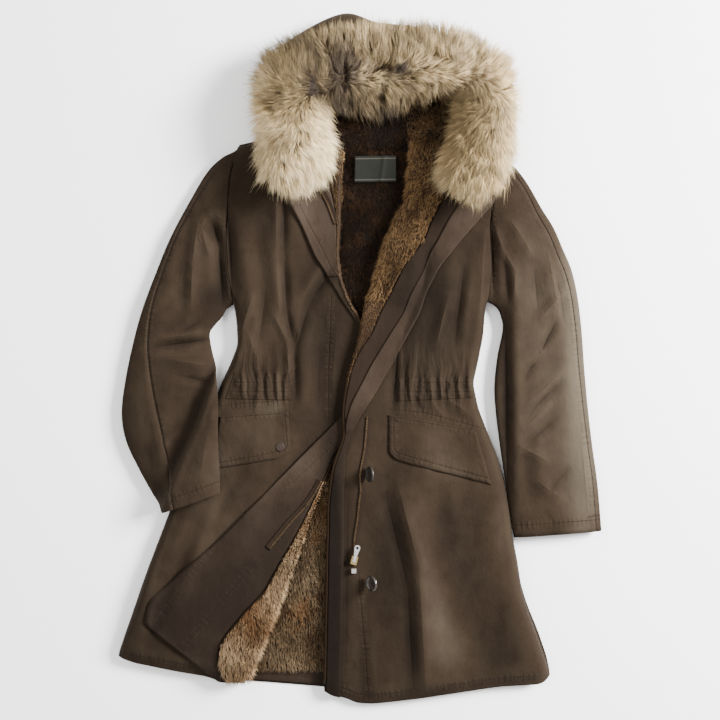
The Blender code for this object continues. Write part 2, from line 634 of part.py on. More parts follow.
# The hood's outline: where each point of the neck edge is carried out to.
HOOD = columns(
    "neck_x x level",
    (-110, -166, -50), (-85, -176, -95), (-60, -152, -145), (-30, -100, -190),
    (-8, -26, -224), (15, 32, -209), (60, 100, -201), (90, 161, -181), (115, 215, -150),
    (150, 258, -105), (190, 262, -44))
HOOD_ARC = (-50.0, -10.0, 35.0, 90.0)


def make_hood(coat):
    """The hood, open and flat: floor, rolled edge and return, with its fur lining."""
    neck = np.interp(np.arange(2 * len(HOOD["x"]) - 1) / 2, np.arange(len(HOOD["x"])),
                     HOOD["neck_x"])
    outline = catmull(np.stack([HOOD["x"], HOOD["level"]], 1), 2)
    start = np.stack([neck, read(NECK, "level", neck, "x") - 1.6], 1)
    reach = outline - start
    length = np.linalg.norm(reach, axis=1, keepdims=True)
    way = reach / length
    flat_end = length - HOOD_ROLL
    back = np.minimum(HOOD_RETURN, length - HOOD_ROLL - 16.0)
    along, height, out, up = [], [], [], []
    for part in (0.0, 0.5, 1.0):
        along.append(part * flat_end)
        height.append(HALF)
        out.append(0.0)
        up.append(-1.0)
    for angle in np.radians(HOOD_ARC):
        along.append(flat_end + HOOD_ROLL * math.cos(angle))
        height.append(HALF + HOOD_ROLL * (1 + math.sin(angle)))
        out.append(math.cos(angle))
        up.append(math.sin(angle))
    for part in (0.5, 1.0):
        along.append(flat_end - part * back)
        height.append(HALF + 2 * HOOD_ROLL)
        out.append(0.0)
        up.append(1.0)
    along = np.hstack(along)
    height, out, up = (np.array(v)[None, :] + 0 * along for v in (height, out, up))

    def ply(distance):
        away = along + out * distance
        x = start[:, :1] + way[:, :1] * away
        level = start[:, 1:] + way[:, 1:] * away
        return place(x, level, height + up * distance)

    under = HALF + GAP
    coat.wall("hood_shell", ply(HALF), ply(-HALF), "twill")
    coat.wall("hood_lining", ply(-under)[:, :-1], ply(-under - HOOD_FUR)[:, :-1],
              "lining fur")


# The ruff: its outer and inner edge, and how high the fur stands.
RUFF = columns(
    "outer_x outer_level inner_x inner_level height",
    (-128, 93, -78, 96, 34), (-162, 78, -47, 86, 54), (-180, 42, -28, 52, 64),
    (-192, -4, -22, 4, 66), (-194, -58, -28, -42, 62), (-180, -116, -33, -66, 58),
    (-134, -168, -14, -54, 56), (-56, -187, 20, -42, 58), (10, -187, 59, -43, 58),
    (75, -184, 92, -62, 56), (141, -174, 132, -80, 54), (195, -151, 157, -82, 54),
    (250, -118, 161, -60, 56), (273, -62, 142, -20, 60), (275, -6, 123, 21, 64),
    (258, 46, 120, 62, 64), (246, 84, 138, 93, 54), (222, 99, 172, 104, 36))
RUFF_TOP = (0.03, 0.14, 0.32, 0.5, 0.68, 0.86, 0.97)
RUFF_UNDER = (0.93, 0.79, 0.65, 0.5, 0.35, 0.21, 0.07)
RUFF_REACH = 26.0     # how near a solid may come before the fur rides over it
RUFF_CLEAR = 1.4      # from the solids under it
RUFF_PART = 0.4       # how far each length's end is drawn in
RUFF_SPLITS = (("ruff_right_lobe", 0, 11), ("ruff_crown", 11, 23), ("ruff_left_lobe", 23, 34))


def make_ruff(coat):
    """The fur ruff round the hood's opening, in three lengths that meet end to end."""
    names = ("outer_x", "outer_level", "inner_x", "inner_level", "height")
    grid = catmull(np.stack([RUFF[name] for name in names], 1), 2)
    ox, ol, ix, il, height = (grid[:, i:i + 1] for i in range(5))
    across = np.array(RUFF_TOP + RUFF_UNDER)[None, :]
    top = np.arange(across.shape[1]) < len(RUFF_TOP)
    station = np.arange(len(grid))[:, None]
    tuft = 1.0 + 0.05 * np.sin(2.3 * station + 5 * across) + 0.04 * np.sin(
        4.1 * station - 7 * across)
    x = ox + (ix - ox) * across
    level = ol + (il - ol) * across
    under = coat.top(place(x, level, 0 * x), RUFF_REACH) / MM + RUFF_CLEAR
    middle = len(RUFF_TOP) + len(RUFF_UNDER) // 2
    base = under[:, middle]
    for _ in range(6):
        base = np.convolve(np.pad(base, 1, mode="edge"), (0.25, 0.5, 0.25), "valid")
    crest = base[:, None] + height * tuft * (1 - np.abs(2 * across - 1) ** 2.6) ** 0.55
    z = np.where(top, np.maximum(crest, under + 5.0), under)
    rings = np.stack([x, -level, z], axis=-1)
    for name, first, last in RUFF_SPLITS:
        part = rings[first:last + 1].copy()
        for end, inner in ((0, 1), (-1, -2)):
            if (name, end) in (("ruff_right_lobe", 0), ("ruff_left_lobe", -1)):
                continue
            step = part[inner] - part[end]
            part[end] += step / np.linalg.norm(step, axis=-1, keepdims=True) * RUFF_PART
        coat.tube(name, place(part[..., 0], -part[..., 1], part[..., 2]), "ruff fur")


def laid(coat, corners, thickness, counts, clearance=0.5, reach=4.0, lift=None):
    """A patch between four corners, x and level, lying on what is under it."""
    across, down = counts
    u = np.linspace(0, 1, across)[None, :]
    v = np.linspace(0, 1, down)[:, None]
    a, b, c, d = (np.array(corner, float) for corner in corners)
    x = (a[0] * (1 - u) + b[0] * u) * (1 - v) + (d[0] * (1 - u) + c[0] * u) * v
    level = (a[1] * (1 - u) + b[1] * u) * (1 - v) + (d[1] * (1 - u) + c[1] * u) * v
    low = coat.top(place(x, level, 0 * x), reach) / MM + clearance
    extra = 0.0 if lift is None else lift(u, v)
    return place(x, level, low), place(x, level, low + thickness + extra)


# Gathered casings: corners (x, level), and how many gathers each draws up.
CASING_RIGHT = ((-206, 372), (-114, 374), (-112, 420), (-222, 418))
CASING_LEFT = ((62, 386), (176, 380), (178, 420), (64, 424))
GATHER_HEIGHT = 2.6
FLAP_RIGHT = ((-234, 452), (-118, 443), (-113, 518), (-244, 540))
FLAP_LEFT = ((49, 449), (196, 474), (222, 566), (50, 522))
LABEL = ((-7, 13), (62, 12), (63, 56), (-8, 57))
LABEL_THICK = 1.0


def gathers(count, phase):
    """The ridges of a casing that draws up the cloth, deepest between its two rows."""
    def lift(u, v):
        turns = count * (u + 0.018 * np.sin(11 * u + phase))
        ridge = 0.5 - 0.5 * np.cos(2 * math.pi * turns)
        return GATHER_HEIGHT * ridge * np.sin(math.pi * v) ** 0.7 * (
            0.8 + 0.2 * np.sin(9 * u + 2 * phase))
    return lift


def make_trims(coat):
    """Casings, pocket flaps and the bare woven label."""
    low, high = laid(coat, CASING_RIGHT, CLOTH, (8 * 3 + 1, 4), lift=gathers(8, 0.4))
    coat.wall("waist_casing_right", high, low, "twill")
    low, high = laid(coat, CASING_LEFT, CLOTH, (10 * 3 + 1, 4), lift=gathers(10, 1.9))
    coat.wall("waist_casing_left", high, low, "twill")
    for name, corners in (("right", FLAP_RIGHT), ("left", FLAP_LEFT)):
        low, high = laid(coat, corners, FLAP_CLOTH, (10, 5), 0.9)
        coat.wall("pocket_flap_" + name, high, low, "twill")
    low, high = laid(coat, LABEL, LABEL_THICK, (6, 4), GAP)
    coat.wall("label", high, low, "label")


# The zip's three visible lengths: x and level of the teeth.
ZIP_LEFT = ((14, 452), (12, 480), (9, 509), (2, 548), (3, 575), (0, 600), (-2, 622), (-7, 654),
            (-8, 676))
ZIP_RIGHT_UPPER = ((-67, 68), (-60, 81), (-53, 94), (-46, 112), (-40, 129))
ZIP_RIGHT_LOWER = ((-63, 560), (-71, 575), (-81, 591), (-96, 610), (-113, 628), (-132, 651),
                   (-151, 674))
ZIP_ACROSS = (-2.2, -1.9, 1.9, 2.2, 7.4)
ZIP_HEIGHT = (0.9, 2.4, 2.4, 0.9, 0.9)


def make_zip(coat, name, route, toward):
    """A zip's tape with its chain of teeth as one raised bead."""
    route = np.array(route, float)
    step = np.gradient(route, axis=0)
    side = np.stack([step[:, 1], -step[:, 0]], 1) / np.linalg.norm(step, axis=1, keepdims=True)
    out = toward * np.array(ZIP_ACROSS)[None, :]
    x = route[:, :1] + side[:, :1] * out
    level = route[:, 1:] + side[:, 1:] * out
    low = coat.top(place(x, level, 0 * x), 4.0) / MM
    low = low.max(axis=1, keepdims=True) + 0.4 + 0 * x
    high = low + np.array(ZIP_HEIGHT)[None, :]
    coat.wall(name, place(x, level, high), place(x, level, low), "tape")


def turned_disc(name, profile, sides=20):
    """A disc turned from a profile of radius and height, open only at its axis."""
    shape = bmesh.new()
    verts = [shape.verts.new((r * MM, 0.0, z * MM)) for r, z in profile]
    for first, second in zip(verts, verts[1:]):
        shape.edges.new((first, second))
    bmesh.ops.spin(shape, geom=shape.verts[:] + shape.edges[:], cent=(0, 0, 0), axis=(0, 0, 1),
                   angle=2 * math.pi, steps=sides)
    bmesh.ops.remove_doubles(shape, verts=shape.verts, dist=1e-6)
    bmesh.ops.recalc_face_normals(shape, faces=shape.faces)
    mesh = bpy.data.meshes.new(name)
    shape.to_mesh(mesh)
    shape.free()
    mesh.shade_smooth()
    mesh.set_sharp_from_angle(angle=math.radians(35))
    return bpy.data.objects.new(name, mesh)


# x, level and how far each button is tipped about the coat's length, in degrees.
BUTTONS = (("button_upper", 20, 547, 64.0), ("button_lower", 23, 731, 51.0))
SNAP_X = -132.0
SNAP_LEVEL = 502.0


def settled(coat, points, x, level):
    """Height at which loose points, set down at a place, clear what is under them."""
    spot = place(points[:, 0] + x, level - points[:, 1], 0 * points[:, 0])
    return (coat.top(spot, TOUCH) / MM - points[:, 2]).max() + GAP


def make_buttons(coat):
    """Two horn buttons tipped on their shanks, and the flap's snap."""
    radius, thick = BUTTON / 2, BUTTON_THICK
    profile = ((0, 0), (radius - 1.6, 0), (radius, 1.6), (radius - 0.6, thick),
               (radius - 3.2, thick), (radius - 4.8, thick - 1.4), (0, thick - 1.5))
    for name, x, level, tip in BUTTONS:
        button = turned_disc(name, profile)
        coat.collection.objects.link(button)
        button.data.materials.append(finish("horn"))
        tipped = Matrix.Rotation(-math.radians(tip), 3, "Y")
        loose = np.array([tipped @ vertex.co for vertex in button.data.vertices]) / MM
        button.rotation_euler = tipped.to_euler()
        button.location = place(x, level, settled(coat, loose, x, level))
    snap = SNAP / 2
    profile = ((0, 0), (snap - 0.4, 0), (snap, 0.5), (snap - 0.5, 1.3), (snap - 1.8, 1.9),
               (snap - 2.6, 1.5), (0, 2.2))
    piece = turned_disc("snap_right", profile, 14)
    coat.collection.objects.link(piece)
    piece.data.materials.append(finish("horn"))
    loose = np.array([vertex.co for vertex in piece.data.vertices]) / MM
    piece.location = place(SNAP_X, SNAP_LEVEL, settled(coat, loose, SNAP_X, SNAP_LEVEL))


def block(name, size, centre, bevel):
    """A box with rounded edges, sizes in millimetres."""
    shape = bmesh.new()
    bmesh.ops.create_cube(shape, size=1.0)
    bmesh.ops.scale(shape, vec=[s * MM for s in size], verts=shape.verts)
    bmesh.ops.translate(shape, vec=[c * MM for c in centre], verts=shape.verts)
    if bevel:
        bmesh.ops.bevel(shape, geom=shape.edges[:], offset=bevel * MM, segments=1,
                        affect="EDGES", profile=0.5)
    mesh = bpy.data.meshes.new(name)
    shape.to_mesh(mesh)
    shape.free()
    return bpy.data.objects.new(name, mesh)


def rod(name, radius, length, centre, sides=16):
    """A cylinder along x, sizes in millimetres."""
    shape = bmesh.new()
    bmesh.ops.create_cone(shape, cap_ends=True, segments=sides, radius1=radius * MM,
                          radius2=radius * MM, depth=length * MM)
    bmesh.ops.rotate(shape, verts=shape.verts, cent=(0, 0, 0),
                     matrix=Matrix.Rotation(math.pi / 2, 3, "Y"))
    bmesh.ops.translate(shape, vec=[c * MM for c in centre], verts=shape.verts)
    mesh = bpy.data.meshes.new(name)
    shape.to_mesh(mesh)
    shape.free()
    return bpy.data.objects.new(name, mesh)


def combine(coat, base, others, operation):
    """Joins to, or cuts from, a base with live exact Booleans; the others become guides."""
    for i, other in enumerate(others):
        coat.cutters.objects.link(other)
        other.hide_render = True
        other.display_type = "WIRE"
        other.parent = base
        modifier = base.modifiers.new(f"{operation.lower()}_{i}", "BOOLEAN")
        modifier.operation = operation
        modifier.object = other
        modifier.solver = "EXACT"


def plate(name, outline, thick):
    """A flat plate from an outline of x and y, half of its thickness each side of 0."""
    shape = bmesh.new()
    low = [shape.verts.new((x * MM, y * MM, -thick / 2 * MM)) for x, y in outline]
    high = [shape.verts.new((x * MM, y * MM, thick / 2 * MM)) for x, y in outline]
    shape.faces.new(low[::-1])
    shape.faces.new(high)
    for i in range(len(outline)):
        j = (i + 1) % len(outline)
        shape.faces.new((low[i], low[j], high[j], high[i]))
    bmesh.ops.recalc_face_normals(shape, faces=shape.faces)
    mesh = bpy.data.meshes.new(name)
    shape.to_mesh(mesh)
    shape.free()
    return bpy.data.objects.new(name, mesh)


# The slider on the left front: x, level, and the turn of the zip there, in degrees.
SLIDER_X = -8.0
SLIDER_LEVEL = 694.0
SLIDER_TURN = -14.0


def droop(coat, outline, thick, here, turn):
    """How far a plate on a pin swings down until it rests, as a turn about the pin."""
    low = np.array([(x, y, -thick / 2) for x, y in outline])
    swung = Matrix.Identity(3)
    for degrees in np.arange(0.0, 30.0, 0.5):
        tried = turn @ Matrix.Rotation(-math.radians(degrees), 3, "X")
        loose = np.array([tried @ Vector(point) for point in low]) * MM + here
        if (loose[:, 2] - coat.top(loose, TOUCH)).min() < GAP * MM:
            break
        swung = tried
    return swung


def make_slider(coat):
    """The slider with its bridge pin, the pull that swings on it, and the retaining box."""
    wide, long, thick = SLIDER
    spot = place(np.array([SLIDER_X]), np.array([SLIDER_LEVEL]), np.zeros(1))
    ground = coat.top(spot, wide)[0] / MM + SEAT
    pin_z = ground + thick + PIN_RISE
    here = place(SLIDER_X, SLIDER_LEVEL, pin_z)
    turn = Matrix.Rotation(math.radians(SLIDER_TURN), 3, "Z")
    slider = block("zip_slider", (wide, long, thick), (0, 0, -PIN_RISE - thick / 2), 0.9)
    coat.collection.objects.link(slider)
    slider.data.materials.append(finish("brass"))
    ears = [block(f"ear_{i}", EAR, (i * EAR_OUT, 0, -EAR_DROP), 0.0) for i in (-1, 1)]
    ears.append(rod("bridge_pin", PIN / 2, PIN_LONG, (0, 0, 0)))
    combine(coat, slider, ears, "UNION")
    slider.location, slider.rotation_euler = here, turn.to_euler()

    pull = rod("zip_pull", BARREL / 2, BARREL_LONG, (0, 0, 0), 20)
    coat.collection.objects.link(pull)
    pull.data.materials.append(finish("nickel"))
    middle = PULL_LENGTH - PULL_END
    outline = [(-PULL_NECK, 1.2), (PULL_NECK, 1.2), (PULL_NECK, PULL_TAPER)]
    outline += [(PULL_END * math.cos(a), middle + PULL_END * math.sin(a))
                for a in np.radians(np.arange(-20, 201, 20))]
    outline.append((-PULL_NECK, PULL_TAPER))
    combine(coat, pull, [plate("pull_plate", outline, PULL_THICK)], "UNION")
    eye = rod("pull_eye", EYE / 2, 12.0, (0, 0, 0))
    hole = rod("pull_hole", PULL_HOLE, 6.0, (0, 0, 0))
    hole.rotation_euler = (0.0, math.pi / 2, 0.0)
    hole.location = (0.0, middle * MM, 0.0)
    combine(coat, pull, [eye, hole], "DIFFERENCE")
    pull.location = here
    pull.rotation_euler = droop(coat, outline, PULL_THICK, here, turn).to_euler()

    spot = (SLIDER_X - 0.5, SLIDER_LEVEL + STOP_BELOW)
    flat = place(np.array([spot[0]]), np.array([spot[1]]), np.zeros(1))
    ground = coat.top(flat, 7.0)[0] / MM + SEAT
    box = block("zip_box", STOP, (0, 0, 0), 0.9)
    coat.collection.objects.link(box)
    box.data.materials.append(finish("nickel"))
    box.location = place(spot[0], spot[1], ground + STOP[2] / 2)


def main():
    """Clears the scene and builds the coat from the floor up."""
    for old in list(bpy.data.objects):
        bpy.data.objects.remove(old, do_unlink=True)
    coat = Coat("fur_trimmed_parka")
    make_back(coat)
    make_fronts(coat)
    make_hood(coat)
    make_trims(coat)
    make_sleeve(coat, "right", SLEEVE_RIGHT, SIDE_RIGHT, 1.0, SKIRT_RIGHT)
    make_sleeve(coat, "left", SLEEVE_LEFT, SIDE_LEFT, -1.0, SKIRT_LEFT)
    make_zip(coat, "zip_tape_left", ZIP_LEFT, 1.0)
    make_zip(coat, "zip_tape_right_upper", ZIP_RIGHT_UPPER, 1.0)
    make_zip(coat, "zip_tape_right_lower", ZIP_RIGHT_LOWER, -1.0)
    make_buttons(coat)
    make_slider(coat)
    make_ruff(coat)


main()
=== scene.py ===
"""The looks of a fur trimmed parka that lies flat with its fronts turned open.

Cloth is made as thin closed walls worked out on fine grids, fur as many tapered hairs on a
skin, and each sewn line as a signed distance that the cloth's material reads.

Working points are millimetres: x across the coat towards the wearer's left, minus the level
(how far below the nape seam), and the height above the floor.
"""
import logging
import math
from dataclasses import dataclass
from enum import Enum

import bpy
import numpy as np
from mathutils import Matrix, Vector


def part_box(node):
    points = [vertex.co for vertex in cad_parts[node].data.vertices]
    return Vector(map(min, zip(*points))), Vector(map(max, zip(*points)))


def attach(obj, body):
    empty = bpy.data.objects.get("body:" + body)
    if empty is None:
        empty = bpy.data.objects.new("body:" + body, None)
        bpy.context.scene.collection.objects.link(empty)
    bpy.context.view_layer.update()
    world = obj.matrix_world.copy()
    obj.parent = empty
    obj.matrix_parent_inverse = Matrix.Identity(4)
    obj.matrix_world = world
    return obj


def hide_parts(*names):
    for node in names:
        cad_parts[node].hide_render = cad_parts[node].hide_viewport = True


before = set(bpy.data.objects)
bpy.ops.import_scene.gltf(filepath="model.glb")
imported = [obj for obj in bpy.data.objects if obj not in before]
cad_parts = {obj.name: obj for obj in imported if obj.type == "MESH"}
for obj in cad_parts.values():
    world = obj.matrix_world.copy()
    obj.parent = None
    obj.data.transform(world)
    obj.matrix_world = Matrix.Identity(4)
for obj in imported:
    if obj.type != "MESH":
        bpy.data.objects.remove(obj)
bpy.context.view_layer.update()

LOG = logging.getLogger("parka")

Array = np.ndarray
Table = dict[str, Array]
Object = bpy.types.Object
Node = bpy.types.Node
Socket = bpy.types.NodeSocket

# --- sizes of the cloth and its layers, in millimetres -------------------------------
MM = 0.001
CLOTH = 1.5
HALF = CLOTH / 2
GAP = 0.3
FUR = 11.5
BACK_FUR = 10.5
BACK_TOP = CLOTH
BACK_FUR_LOW = BACK_TOP + GAP
BACK_FUR_TOP = BACK_FUR_LOW + BACK_FUR
FRONT_FUR_LOW = BACK_FUR_TOP + GAP
FRONT_FULL = FRONT_FUR_LOW + FUR + GAP + HALF
EDGE_LOW = BACK_TOP + GAP + HALF
NAPE_Y = 355.4
CENTRE_X = 0.845
CURL = 14.0
FOLD_RADIUS = 1.5
YOKE = 40.0
WAIST = 400.0
HEM = 900.0
ARMPIT = 258.0
NECK_MIDDLE = 15.0
NECK_HALF = 75.0
THIN_ZONE = 60.0
THIN_RAMP = 52.0
SETTLED = 2.0
FULL_ROLL = 9.0
PLEAT = 0.55
CRISP = 11.0
FAR = 60.0
HEM_HEIGHT = 7.0
HEM_SINK = 0.55
HEM_SOFT = 26.0
LEAST_SHOWN = 0.31
SEWN_ROWS = (18, 885)
LINING_END = 872
HEM_STITCH = 15
SKIN_DEPTH = 4.6
SEED = 20


def columns(names: str, *rows: tuple) -> Table:
    """A short table as named columns.

    Args:
        names: column names, parted by spaces.
        rows: one tuple of numbers for each row.

    Returns:
        The columns by name.
    """
    return {name: np.array(values, float) for name, values in zip(names.split(), zip(*rows))}


def read(table: Table, name: str, at: Array, key: str = "level", ease: float = 7.0) -> Array:
    """A table's column between its rows, with its corners rounded.

    The value is the mean of the straight-line reading over a window of plus and minus ease.

    Args:
        table: the columns.
        name: the column to read.
        at: where to read it.
        key: the column that at is measured on.
        ease: half the width of the window, in the key's own units.

    Returns:
        The values, in the shape of at.
    """
    if not ease:
        return np.interp(at, table[key], table[name])
    window = np.linspace(-ease, ease, 5)
    return sum(np.interp(at + off, table[key], table[name]) for off in window) / len(window)


SIDE_RIGHT = columns(
    "level x",
    (0, -203), (51, -216), (94, -221), (153, -225), (212, -221), (258, -212), (292, -207),
    (331, -205), (360, -216), (399, -234), (459, -256), (510, -277), (560, -297), (627, -322),
    (716, -353), (762, -368), (809, -382), (860, -397), (900, -408))
SIDE_LEFT = columns(
    "level x",
    (0, 240), (26, 234), (94, 224), (138, 219), (202, 223), (248, 218), (275, 213), (316, 210),
    (357, 202), (397, 193), (438, 202), (479, 218), (520, 235), (560, 246), (611, 255),
    (654, 260), (694, 268), (735, 274), (777, 286), (823, 303), (872, 318), (900, 324))
NECK = columns(
    "x level",
    (-204, -8), (-145, -23), (-85, -38), (-60, -14), (-30, 0), (15, 5), (60, 0), (90, -16),
    (115, -38), (178, -17), (240, 5))
SHOULDER_RIGHT = columns("x level", (-204, -4), (-85, -33), (-60, -9), (-30, 5), (15, 10))
SHOULDER_LEFT = columns("x level", (15, 10), (60, 5), (90, -11), (115, -33), (240, 9))
HEM_BACK = columns(
    "x level",
    (-409, 855), (-379, 866), (-310, 880), (-256, 889), (-190, 901), (-100, 908), (-54, 912),
    (70, 916), (189, 909), (273, 899), (324, 882))
HEM_RIGHT = columns(
    "x level", (-409, 856), (-379, 867), (-310, 881), (-256, 890), (-232, 899), (-184, 901))
HEM_LEFT = columns(
    "x level",
    (-61, 912), (-50, 921), (-20, 928), (-5, 936), (20, 937), (103, 927), (170, 917),
    (238, 907), (307, 903), (317, 896), (324, 885))

# Each front: where it folds, how far it turns back, how much of that shows its fur, how
# thick the fur is at the fold, how far the front is held up, and where the wind flap starts.
FOLD_RIGHT = columns(
    "level fold turn strip fur lift",
    (0, -23, 141, 30, 5, 0), (64, -27, 105, 21, 5, 0), (97, -28, 87, 12, 4, 0),
    (139, -30, 64, 6, 2.5, 0), (181, -33, 42, 5, 2, 0), (223, -27, 21, 5, 2, 0),
    (260, -13, 13, 5, 2, 0), (286, 5, 12, 5, 2, 0), (332, 20, 12, 5, 2, 0),
    (382, 25, 12, 5, 2, 0), (409, 15, 12, 5, 2, 0), (429, 12, 19, 5, 2, 0),
    (454, -2, 30, 5, 2, 0), (482, -15, 45, 5, 2, 0), (516, -35, 59, 5, 2, 0),
    (558, -55, 82, 5, 2, 0), (608, -75, 110, 8, 3, 0), (658, -92, 142, 17, 5, 0),
    (700, -107, 167, 27, 7, 0), (742, -122, 194, 35, 8, 0), (779, -136, 215, 56, 9, 0),
    (824, -154, 207, 73, 9, 0), (845, -163, 165, 71, 9, 0), (868, -171, 120, 62, 9, 0),
    (885, -178, 83, 49, 9, 0), (900, -184, 50, 31, 9, 0))
FOLD_LEFT = columns(
    "level fold turn strip fur lift band",
    (0, 84, 160, 70, 9, 0, 80), (31, 80, 160, 70, 9, 0, 84), (64, 76, 158, 68, 9, 0, 90),
    (93, 71, 156, 66, 9, 0, 98), (121, 52, 150, 69, 9, 0, 98), (157, 38, 132, 69, 9, 0, 94),
    (200, 27, 109, 47, 9, 0, 82), (246, 12, 101, 40, 8, 0.2, 74),
    (276, 5, 99, 30, 2.6, 1, 69), (312, -1, 86, 22, 2, 1, 54), (341, -9, 77, 9, 2, 1, 44),
    (370, -18, 68, 5, 2, 1, 36), (399, -24, 60, 5, 2, 1, 27), (427, -29, 46, 5, 2, 1, 17),
    (455, -30, 28, 5, 2, 1, 9), (474, -28, 17, 5, 2, 1, 6), (487, -30, 13, 5, 2, 1, 6),
    (516, -42, 18, 5, 2, 1, 6), (537, -48, 24, 5, 2, 1, 6), (591, -55, 28, 5, 2, 0.3, 6),
    (640, -56, 29, 5, 2, 0, 6), (900, -61, 29, 5, 2, 0, 6))

# Folds and creases of each piece: a soft ridge, or a trough where the height is negative.
CREASES_RIGHT = columns(
    "x0 level0 x1 level1 width height",
    (-150, 140, -140, 290, 13, 4.5), (-192, 130, -178, 320, 15, 5),
    (-138, 66, -138, 184, 7, 3.6), (-138, 184, -133, 278, 7, 4),
    (-126, 66, -126, 184, 8, -6.5), (-126, 184, -121, 278, 8, -7.5),
    (-121, 278, -110, 328, 7, -6), (-108, 328, -106, 420, 6, -5),
    (-43, 200, -84, 262, 10, -5), (-84, 262, -104, 333, 9, -6),
    (-64, 196, -100, 258, 8, 3), (-177, 248, -199, 315, 7, 4.2),
    (-142, 283, -121, 323, 5, 3.6), (-120, 323, -116, 400, 4.5, 4),
    (-199, 318, -205, 366, 6, 3), (-186, 312, -172, 352, 6, 2.8),
    (-222, 100, -213, 252, 11, -8), (-158, 250, -168, 330, 8, -3.4),
    (-262, 575, -318, 700, 22, 5.5), (-345, 700, -372, 850, 14, 5),
    (-152, 470, -186, 555, 20, 4), (-236, 592, -300, 760, 14, 4),
    (-268, 625, -352, 827, 16, -4.5), (-160, 590, -215, 700, 24, 4.5),
    (-205, 560, -250, 640, 12, -3.8), (-66, 330, -70, 430, 9, -2.4),
    (-90, 320, -92, 440, 13, 2.8), (-38, 300, -46, 440, 10, 2.2),
    (-176, 60, -190, 130, 16, 3.6), (-104, 90, -100, 190, 12, 2.6),
    (-164, 410, -176, 446, 8, 2.6), (-138, 414, -142, 448, 6, 1.8))
CREASES_LEFT = columns(
    "x0 level0 x1 level1 width height",
    (120, 170, 104, 240, 11, -5.5), (104, 240, 66, 330, 12, -6), (66, 330, 56, 440, 10, -4.5),
    (158, 150, 146, 260, 18, 4), (194, 170, 172, 340, 13, 5), (150, 250, 128, 340, 10, 4.2),
    (211, 139, 201, 300, 10, 3.6), (176, 200, 160, 330, 9, -3.4), (96, 318, 88, 392, 6, 2.6),
    (76, 470, 40, 600, 24, -3), (48, 560, 52, 900, 30, -4), (98, 560, 112, 905, 26, 7.5),
    (170, 560, 196, 890, 30, -3), (214, 520, 262, 880, 40, 4.2),
    (64, 560, 100, 700, 10, 3.4), (100, 700, 112, 904, 10, 3.2), (46, 590, 82, 740, 11, -4),
    (82, 740, 90, 904, 11, -4.4),
    (244, 700, 286, 880, 18, 2.6), (20, 780, 24, 925, 12, 3),
    (150, 560, 168, 640, 14, 2.6), (110, 500, 124, 590, 16, 3), (122, 424, 140, 452, 7, 2.6),
    (146, 420, 184, 446, 7, 2.8), (96, 424, 108, 446, 7, -2), (-20, 560, -24, 900, 7, -2.4))
CREASES_SLEEVE_RIGHT = columns(
    "x0 level0 x1 level1 width height",
    (-344, 322, -254, 309, 8, 4), (-346, 335, -250, 322, 6, -6.5), (-350, 352, -262, 347, 9, 3),
    (-270, 124, -279, 196, 9, 5.5), (-279, 196, -281, 268, 9, 5), (-264, 134, -256, 117, 7, 5),
    (-256, 117, -242, 111, 7, 5), (-242, 111, -229, 121, 7, 4), (-264, 134, -252, 180, 8, 4.5),
    (-246, 128, -236, 162, 9, -8.5), (-236, 162, -230, 262, 11, -9.5),
    (-290, 150, -300, 290, 13, -3), (-239, 397, -304, 382, 6, -4.2), (-250, 366, -318, 356, 8, 3.4),
    (-296, 70, -322, 230, 14, 3.4), (-322, 420, -330, 560, 14, 3.4), (-268, 440, -292, 540, 12, -3.4),
    (-250, 470, -262, 550, 9, 2.8), (-375, 400, -356, 500, 12, 3), (-264, 290, -300, 312, 8, -3.4),
    (-300, 470, -342, 520, 9, 2.2), (-352, 440, -344, 560, 10, -2.4), (-276, 40, -262, 104, 9, -2.4))
CREASES_SLEEVE_LEFT = columns(
    "x0 level0 x1 level1 width height",
    (222, 110, 226, 250, 9, -7), (227, 130, 241, 172, 6, 4), (241, 172, 262, 208, 6, 4),
    (262, 208, 260, 250, 7, 3.6), (252, 120, 276, 154, 7, 3.8), (276, 154, 288, 178, 7, 3),
    (244, 186, 252, 260, 8, -4), (263, 250, 266, 610, 12, 4.5), (245, 280, 250, 600, 10, -5.5),
    (332, 290, 301, 352, 7, -5.8), (318, 328, 288, 364, 7, 5), (300, 352, 276, 390, 7, -4.6),
    (340, 376, 284, 428, 8, 4.8), (334, 398, 286, 444, 7, -4.6), (320, 430, 276, 470, 8, 4),
    (316, 172, 336, 290, 11, 4), (294, 200, 300, 280, 10, -3), (350, 330, 362, 470, 12, 3.4),
    (300, 470, 312, 600, 16, 3.4), (340, 500, 352, 620, 12, -3.2), (268, 500, 316, 526, 8, 4),
    (330, 456, 280, 500, 7, -4),
    (330, 210, 346, 300, 9, -4.4), (372, 480, 386, 620, 9, 3), (300, 560, 340, 590, 8, 3.6),
    (344, 240, 306, 284, 7, 4.4), (352, 540, 318, 580, 7, -3.8))

